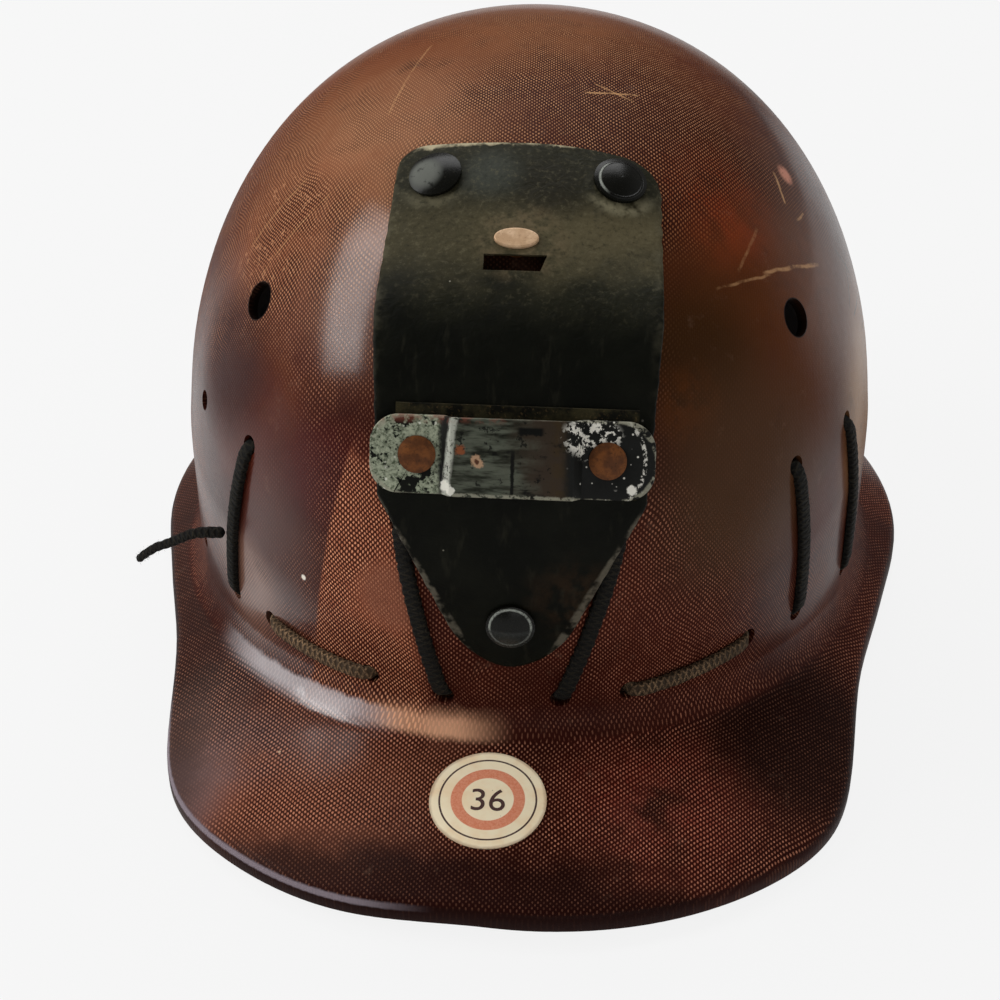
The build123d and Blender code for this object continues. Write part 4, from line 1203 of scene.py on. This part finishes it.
black_leather = panel_finish()
panel = finished("bracket_panel", leather_panel(), black_leather)
cutter = finished("slot_cutter", slot_cutter(), black_leather)
cut = panel.modifiers.new("slot", "BOOLEAN")
cut.object = cutter
cut.operation = "DIFFERENCE"
cut.solver = "EXACT"
settled(panel)
panel.data.set_sharp_from_angle(angle=math.radians(50))
bpy.data.objects.remove(cutter)
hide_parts("lamp_bracket_leather")
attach(panel, "root")


# Metal of the bracket
bar = bevelled("lamp_hook_bar", bar_finish(), 0.35)
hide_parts("lamp_hook_bar")
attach(bar, "root")

# each metal's two tones, size of blotches, metallic, roughness, tarnish and gloss
dark_steel = metal_finish("dark_steel", (12, 12, 7), (48, 44, 27), 5, 0.0, 0.8, (84, 68, 44), 0.08)
copper = metal_finish("copper", (80, 46, 22), (112, 66, 30), 3, 0.3, 0.55, (44, 26, 14), 0.2)
tan = metal_finish("tan_rivet", (176, 142, 106), (204, 172, 138), 4, 0.25, 0.45, (140, 100, 66))
stud_black = stud_finish()
for spot in ("top_left", "top_right", "bottom"):
    coated("bracket_stud_" + spot, stud_black)
    coated("stud_washer_" + spot, dark_steel)
for node in ("bar_rivet_left", "bar_rivet_right", "bar_burr_left", "bar_burr_right", "slot_burr"):
    coated(node, copper)
coated("bar_backing_strip", dark_steel)
coated("slot_rivet", tan)


# Small repeated things
def scattered(name, spots, fine, material, long, wide, seed):
    """Geometry Nodes: one small rod per point, turned along its own way, as one mesh.

    Fine rods are round and even, as thread is; the others are three-sided, thin out and
    differ in length, as fibres do.
    """
    cloud = bpy.data.meshes.new(name)
    cloud.from_pydata([spot for spot, way in spots], [], [])
    ways = cloud.attributes.new("way", "FLOAT_VECTOR", "POINT")
    ways.data.foreach_set("vector", [c for spot, way in spots for c in way])
    group = bpy.data.node_groups.new(name + "_rods", "GeometryNodeTree")
    values = (
        ("Length", "Float", long),
        ("Radius", "Float", wide),
        ("Taper", "Float", 1.0 if fine else 0.25),
        ("Unevenness", "Float", 0.15 if fine else 0.6),
        ("Seed", "Int", seed),
        ("Material", "Material", material),
    )

    def socket(title, kind, way="INPUT"):
        made = group.interface.new_socket(title, in_out=way, socket_type="NodeSocket" + kind)
        return made.identifier

    socket("Geometry", "Geometry")
    inputs = [(socket(title, kind), value) for title, kind, value in values]
    socket("Geometry", "Geometry", "OUTPUT")
    b = Bench(group)
    given = b.node("NodeGroupInput", {}, {}, None).outputs
    given = {output.name: Wire(b, output) for output in given}
    rod = b.node("GeometryNodeMeshCone", {}, {
        "Vertices": 8 if fine else 3,
        "Depth": given["Length"],
        "Radius Bottom": given["Radius"],
        "Radius Top": given["Radius"] * given["Taper"],
    })
    way = b.node("GeometryNodeInputNamedAttribute", {"data_type": "FLOAT_VECTOR"}, {"Name": "way"})
    turn = b.node("FunctionNodeAlignRotationToVector", {"axis": "Z"}, {"Vector": way})
    lot = {2: 1 - given["Unevenness"], "Seed": given["Seed"]}
    rods = b.node("GeometryNodeInstanceOnPoints", {}, {
        "Points": given["Geometry"],
        "Instance": rod,
        "Rotation": turn,
        "Scale": b.node("FunctionNodeRandomValue", {}, lot, 1),
    })
    whole = b.node("GeometryNodeRealizeInstances", {}, {"Geometry": rods})
    coat = {"Geometry": whole, "Material": given["Material"]}
    b.node("NodeGroupOutput", {}, {"Geometry": b.node("GeometryNodeSetMaterial", {}, coat)}, None)
    made = bpy.data.objects.new(name, cloud)
    bpy.context.scene.collection.objects.link(made)
    modifier = made.modifiers.new("rods", "NODES")
    modifier.node_group = group
    for identifier, value in inputs:
        modifier[identifier] = value
    settled(made)
    for polygon in made.data.polygons:
        polygon.use_smooth = fine
    return made


def stitch_row(name, line, pitch, material, seed):
    """A row of thread stitches along a line of points."""
    spots, _ = even(line, pitch)
    rods = [((a + b) / 2, (b - a).normalized()) for a, b in zip(spots, spots[1:])]
    made = scattered(name, rods, True, material, pitch * 0.72, 0.00032, seed)
    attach(made, "root")
    return made


# Cradle
webbing = webbing_finish()
cradle = cradle_finish()
thread = metal_finish("thread", (150, 136, 104), (176, 160, 124), 5, 0.0, 0.8, (110, 96, 70))
STRAP, STACK, EYE = 1.2, 0.7, 4.4
BAND_X, BAND_Y, BAND_WALL, BAND_LOW, BAND_TALL = 78.0, 98.0, 2.0, -36.0, 32.0
CROWN, SPRING, PATCH = 84.0, -2.0, 24.0


def strap_path(reach, crown, near, far):
    """Middle line of a crown strap in its own upright plane: eye, band, crown, band, eye."""
    half = STRAP / 2
    loop = EYE + half

    def end(side, eye):
        out, level = math.hypot(eye.x, eye.y), eye.z
        points = []
        for k in range(25):
            turn = math.radians(214 - 304 * k / 24)
            spot = (side * (out + loop * math.cos(turn)), level + loop * math.sin(turn))
            points.append(spot)
        low = level - loop
        inner = reach + half
        run = max(int((out - inner) / 1.5), 2)
        points += [(side * (out + (inner + 1.6 - out) * k / run), low) for k in range(1, run + 1)]
        points += [(side * (inner + 0.5), low + 0.5), (side * inner, low + 1.6)]
        rise = max(int((SPRING - low - 1.6) / 2), 2)
        climb = (SPRING - low - 1.6) / rise
        points += [(side * inner, low + 1.6 + climb * k) for k in range(1, rise)]
        return points

    wide, tall = reach + half, crown + half - SPRING
    turns = [math.pi * k / 120 for k in range(121)]
    arc = [(wide * math.cos(turn), SPRING + tall * math.sin(turn)) for turn in turns]
    return end(1, near) + arc + end(-1, far)[::-1]


def ribbon(name, path, direction, wide):
    """A strip of webbing along a path in the upright plane, with soft selvedges."""
    flat = [Vector((s * direction.x, s * direction.y, z)) for s, z in path]
    line, marks = even(flat, 1.1)
    across = direction.cross(Vector((0, 0, 1)))
    sheet = bmesh.new()
    shares = [math.sin((k / 12 - 0.5) * math.pi) for k in range(13)]
    around = shares + shares[::-1]
    rings = []
    for i, here in enumerate(line):
        face = ahead_of(line, i).cross(across)
        wave = noise.noise(here * 0.09) * 0.12
        ring = []
        for k, share in enumerate(around):
            sign = 1 if k < len(shares) else -1
            edge = wide / 2 * (1 - abs(share))
            soft = math.sqrt(max(1 - (1 - min(edge / 0.6, 1)) ** 2, 0.02))
            selvedge = 1 + 0.12 * math.exp(-((edge - 0.9) / 0.5) ** 2)
            nick = noise.noise(here * 0.5 + across * share * 9) * 0.14
            spot = here + across * (share * wide / 2 + nick * abs(share))
            spot += face * (sign * STRAP / 2 * soft * selvedge * 0.94 + wave)
            ring.append(sheet.verts.new(stood(spot)))
        rings.append(ring)
    half = wide / 2000
    skinned(sheet, rings, uv=lambda i, k: (marks[i] / 1000, around[k % len(around)] * half))
    return finished(name, sheet, webbing)


def band_reach(direction, half_width):
    """How far out the sweatband comes where a strap of that half width passes it."""
    across = direction.cross(Vector((0, 0, 1)))
    wide, long = BAND_X + BAND_WALL, BAND_Y + BAND_WALL
    turns = [math.radians(turn) for turn in range(360)]
    ring = [Vector((wide * math.cos(t), long * math.sin(t), 0)) for t in turns]
    return max(p.dot(direction) for p in ring if abs(p.dot(across)) <= half_width)


eyes = {sign * angle: eye_spot(sign * angle, share) for _, angle, share in EYES for sign in (1, -1)}
for node, angle, wide, layer in (
    ("cradle_strap_lateral", 90.0, 20.0, 0),
    ("cradle_strap_right_front", 46.0, 10.0, 1),
    ("cradle_strap_left_front", -46.0, 10.0, 2),
):
    near, far = eyes[angle], eyes[angle - 180.0 if angle > 0 else angle + 180.0]
    direction = Vector((near.x, near.y, 0)).normalized()
    reach = band_reach(direction, wide / 2) + 0.3
    path = strap_path(reach, CROWN + layer * (STRAP + STACK), near, far)
    strap = ribbon(node + "_webbing", path, direction, wide)
    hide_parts(node)
    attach(strap, "root")
    # thread where the loop is sewn back to the strap
    for side, eye in ((1, near), (-1, far)):
        out = math.hypot(eye.x, eye.y) - EYE - 2.2
        spot = direction * side * out + Vector((0, 0, eye.z - EYE - STRAP - 0.1))
        across = direction.cross(Vector((0, 0, 1)))
        row = [stood(spot + across * wide * share) for share in (-0.38, 0.38)]
        sewn = stitch_row(f"{node}_sewn_{side + 1}", row, 0.0021, thread, 5)


def band_spot(turn, depth, level):
    """A place in the sweatband's wall: depth 0 inside, 1 outside, level 0 to 1 up it."""
    sag = noise.noise(Vector((math.cos(turn) * 2.2, math.sin(turn) * 2.2, level * 1.4))) * 0.5
    x = (BAND_X - 0.5 + sag + depth * BAND_WALL) * math.cos(turn)
    y = (BAND_Y - 0.5 + sag + depth * BAND_WALL) * math.sin(turn)
    return Vector((x, y, BAND_LOW + BAND_TALL * level))


def band_rings(count=360):
    """Sections of the sweatband all round: a rolled lower edge, two flat sides, a soft top."""
    outline = []
    for k in range(9):
        turn = math.pi * k / 8
        outline.append((0.5 - 0.78 * math.cos(turn), 0.035 - 0.035 * math.sin(turn)))
    outline += [(1.25, 0.06), (1.02, 0.085)]
    outline += [(1.0, 0.1 + 0.86 * k / 14) for k in range(15)]
    outline += [(0.82, 0.99), (0.5, 1.0), (0.18, 0.99)]
    outline += [(0.0, 0.96 - 0.86 * k / 14) for k in range(15)]
    outline += [(-0.02, 0.085), (-0.2, 0.06)]
    turns = [2 * math.pi * i / count for i in range(count)]
    return [[band_spot(turn, depth, level) for depth, level in outline] for turn in turns]


band = finished("sweatband_leather", turned_sheet(band_rings(), True), cradle, 60)
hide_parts("sweatband")
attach(band, "root")
for row, (depth, level) in enumerate(((1.06, 0.13), (-0.06, 0.13), (1.06, 0.93), (-0.06, 0.93))):
    turns = np.linspace(0, 2 * math.pi, 721)
    line = [stood(band_spot(turn, depth, level)) for turn in turns]
    sewn = stitch_row(f"sweatband_stitches_{row}", line, 0.0034, thread, row)

patch_low = CROWN + 2 * (STRAP + STACK) + STRAP + 0.3


def patch_spot(radius, turn, level):
    """A place on the crown patch: level 0 under it, 1 on top."""
    sag = noise.noise(Vector((radius * 0.05 * math.cos(turn), radius * 0.05 * math.sin(turn), 4.0)))
    height = patch_low + 0.3 + level * 1.3 + sag * 0.3
    return Vector((radius * math.cos(turn), radius * math.sin(turn), height))


profile = [(0.2, 0.0)] + [(PATCH * k / 14, 0.0) for k in range(1, 14)]
profile += [(PATCH - 0.35, 0.05), (PATCH, 0.35), (PATCH, 0.65), (PATCH - 0.35, 0.95)]
profile += [(PATCH * k / 14, 1.0) for k in range(13, 0, -1)] + [(0.2, 1.0)]
turns = [2 * math.pi * k / 96 for k in range(96)]
patch_rings = [[patch_spot(radius, turn, level) for turn in turns] for radius, level in profile]
patch = finished("crown_patch_leather", turned_sheet(patch_rings), cradle, 60)
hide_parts("crown_patch")
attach(patch, "root")
for row, level in enumerate((-0.1, 1.1)):
    turns = np.linspace(0, 2 * math.pi, 241)
    line = [stood(patch_spot(PATCH - 3.2, turn, level)) for turn in turns]
    sewn = stitch_row(f"crown_patch_stitches_{row}", line, 0.003, thread, row + 9)

# the overhand knot that ties the lace's two ends
knot_line = []
for k in range(73):
    turn = 2 * math.pi * k / 72
    knot_line.append(stood(knot_middle + Vector((
        1.45 * (math.sin(turn) + 1.3 * math.sin(2 * turn)),
        1.15 * (math.cos(turn) - 2 * math.cos(2 * turn)),
        1.5 * math.sin(3 * turn),
    ))))
knot = thong("lace_knot_braid", knot_line, 0.0030, 0.0022, step=0.0005)
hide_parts("lace_knot")
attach(knot, "root")


# Fuzz of the lace
def fuzz(name, source, share, long, seed):
    """Short stray fibres standing out of a braid's faces, a share of them picked by lot."""
    rng = np.random.default_rng(seed)
    spots = []
    for polygon in source.data.polygons:
        if rng.random() < share:
            way = polygon.normal + Vector(rng.normal(0, 0.7, 3))
            way.normalize()
            spots.append((polygon.center + way * long * 0.35, way))
    made = scattered(name, spots, False, lace_black, long, 0.00004, seed)
    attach(made, "root")


fuzz("lace_fuzz", lace, 0.14, 0.0011, 3)
fuzz("tail_fuzz", tail, 0.12, 0.0010, 4)


# Floor and light
floor_sheet = bmesh.new()
bmesh.ops.create_grid(floor_sheet, x_segments=8, y_segments=8, size=4.0)
floor = finished("floor", floor_sheet, floor_finish())


def lamp(name, place, aim, size, power, up=(0, 0, 1)):
    """A rectangular lamp facing its aim, its height turned to lie along the given way."""
    light = bpy.data.lights.new(name, "AREA")
    light.shape = "RECTANGLE"
    light.size, light.size_y = size
    light.energy = power
    made = bpy.data.objects.new(name, light)
    bpy.context.scene.collection.objects.link(made)
    behind = (Vector(place) - Vector(aim)).normalized()
    across = Vector(up).cross(behind).normalized()
    turn = Matrix((across, behind.cross(across), behind)).transposed().to_4x4()
    made.matrix_world = Matrix.Translation(place) @ turn


lamp("window_left", (-1.1, -0.12, 0.86), (-0.04, -0.07, 0.14), (0.36, 1.1), 11, (0.26, 0.48, 0.44))
lamp("overhead", (-0.15, 0.85, 1.4), (0, 0, 0.1), (1.3, 0.9), 16)
lamp("front_fill", (0.5, -1.5, 0.5), (0, 0, 0.05), (1.2, 0.7), 4)

# a dim pale world, brighter to both sides; the camera sees the backdrop in its place
world = bpy.data.worlds.new("studio")
bpy.context.scene.world = world
world.use_nodes = True
sky = Bench(world.node_tree)
eastward = sky.parts(sky.node("TexCoord", {}, {}, "Generated"))[0]
sides = sky.ramp(eastward, -0.3, -1.0, 0.16, 0.4) + sky.ramp(eastward, 0.35, 1.0, 0.0, 0.5)
glow = sky.node("Background", {}, {0: (1, 0.985, 0.97, 1), 1: sides})
backdrop = sky.node("Background", {}, {0: ink(*BACKDROP)})
camera_ray = sky.node("LightPath", {}, {}, "Is Camera Ray")
both = sky.node("MixShader", {}, {0: camera_ray, 1: glow, 2: backdrop})
sky.node("OutputWorld", {}, {0: both}, None)
bpy.context.scene.view_settings.view_transform = "Standard"
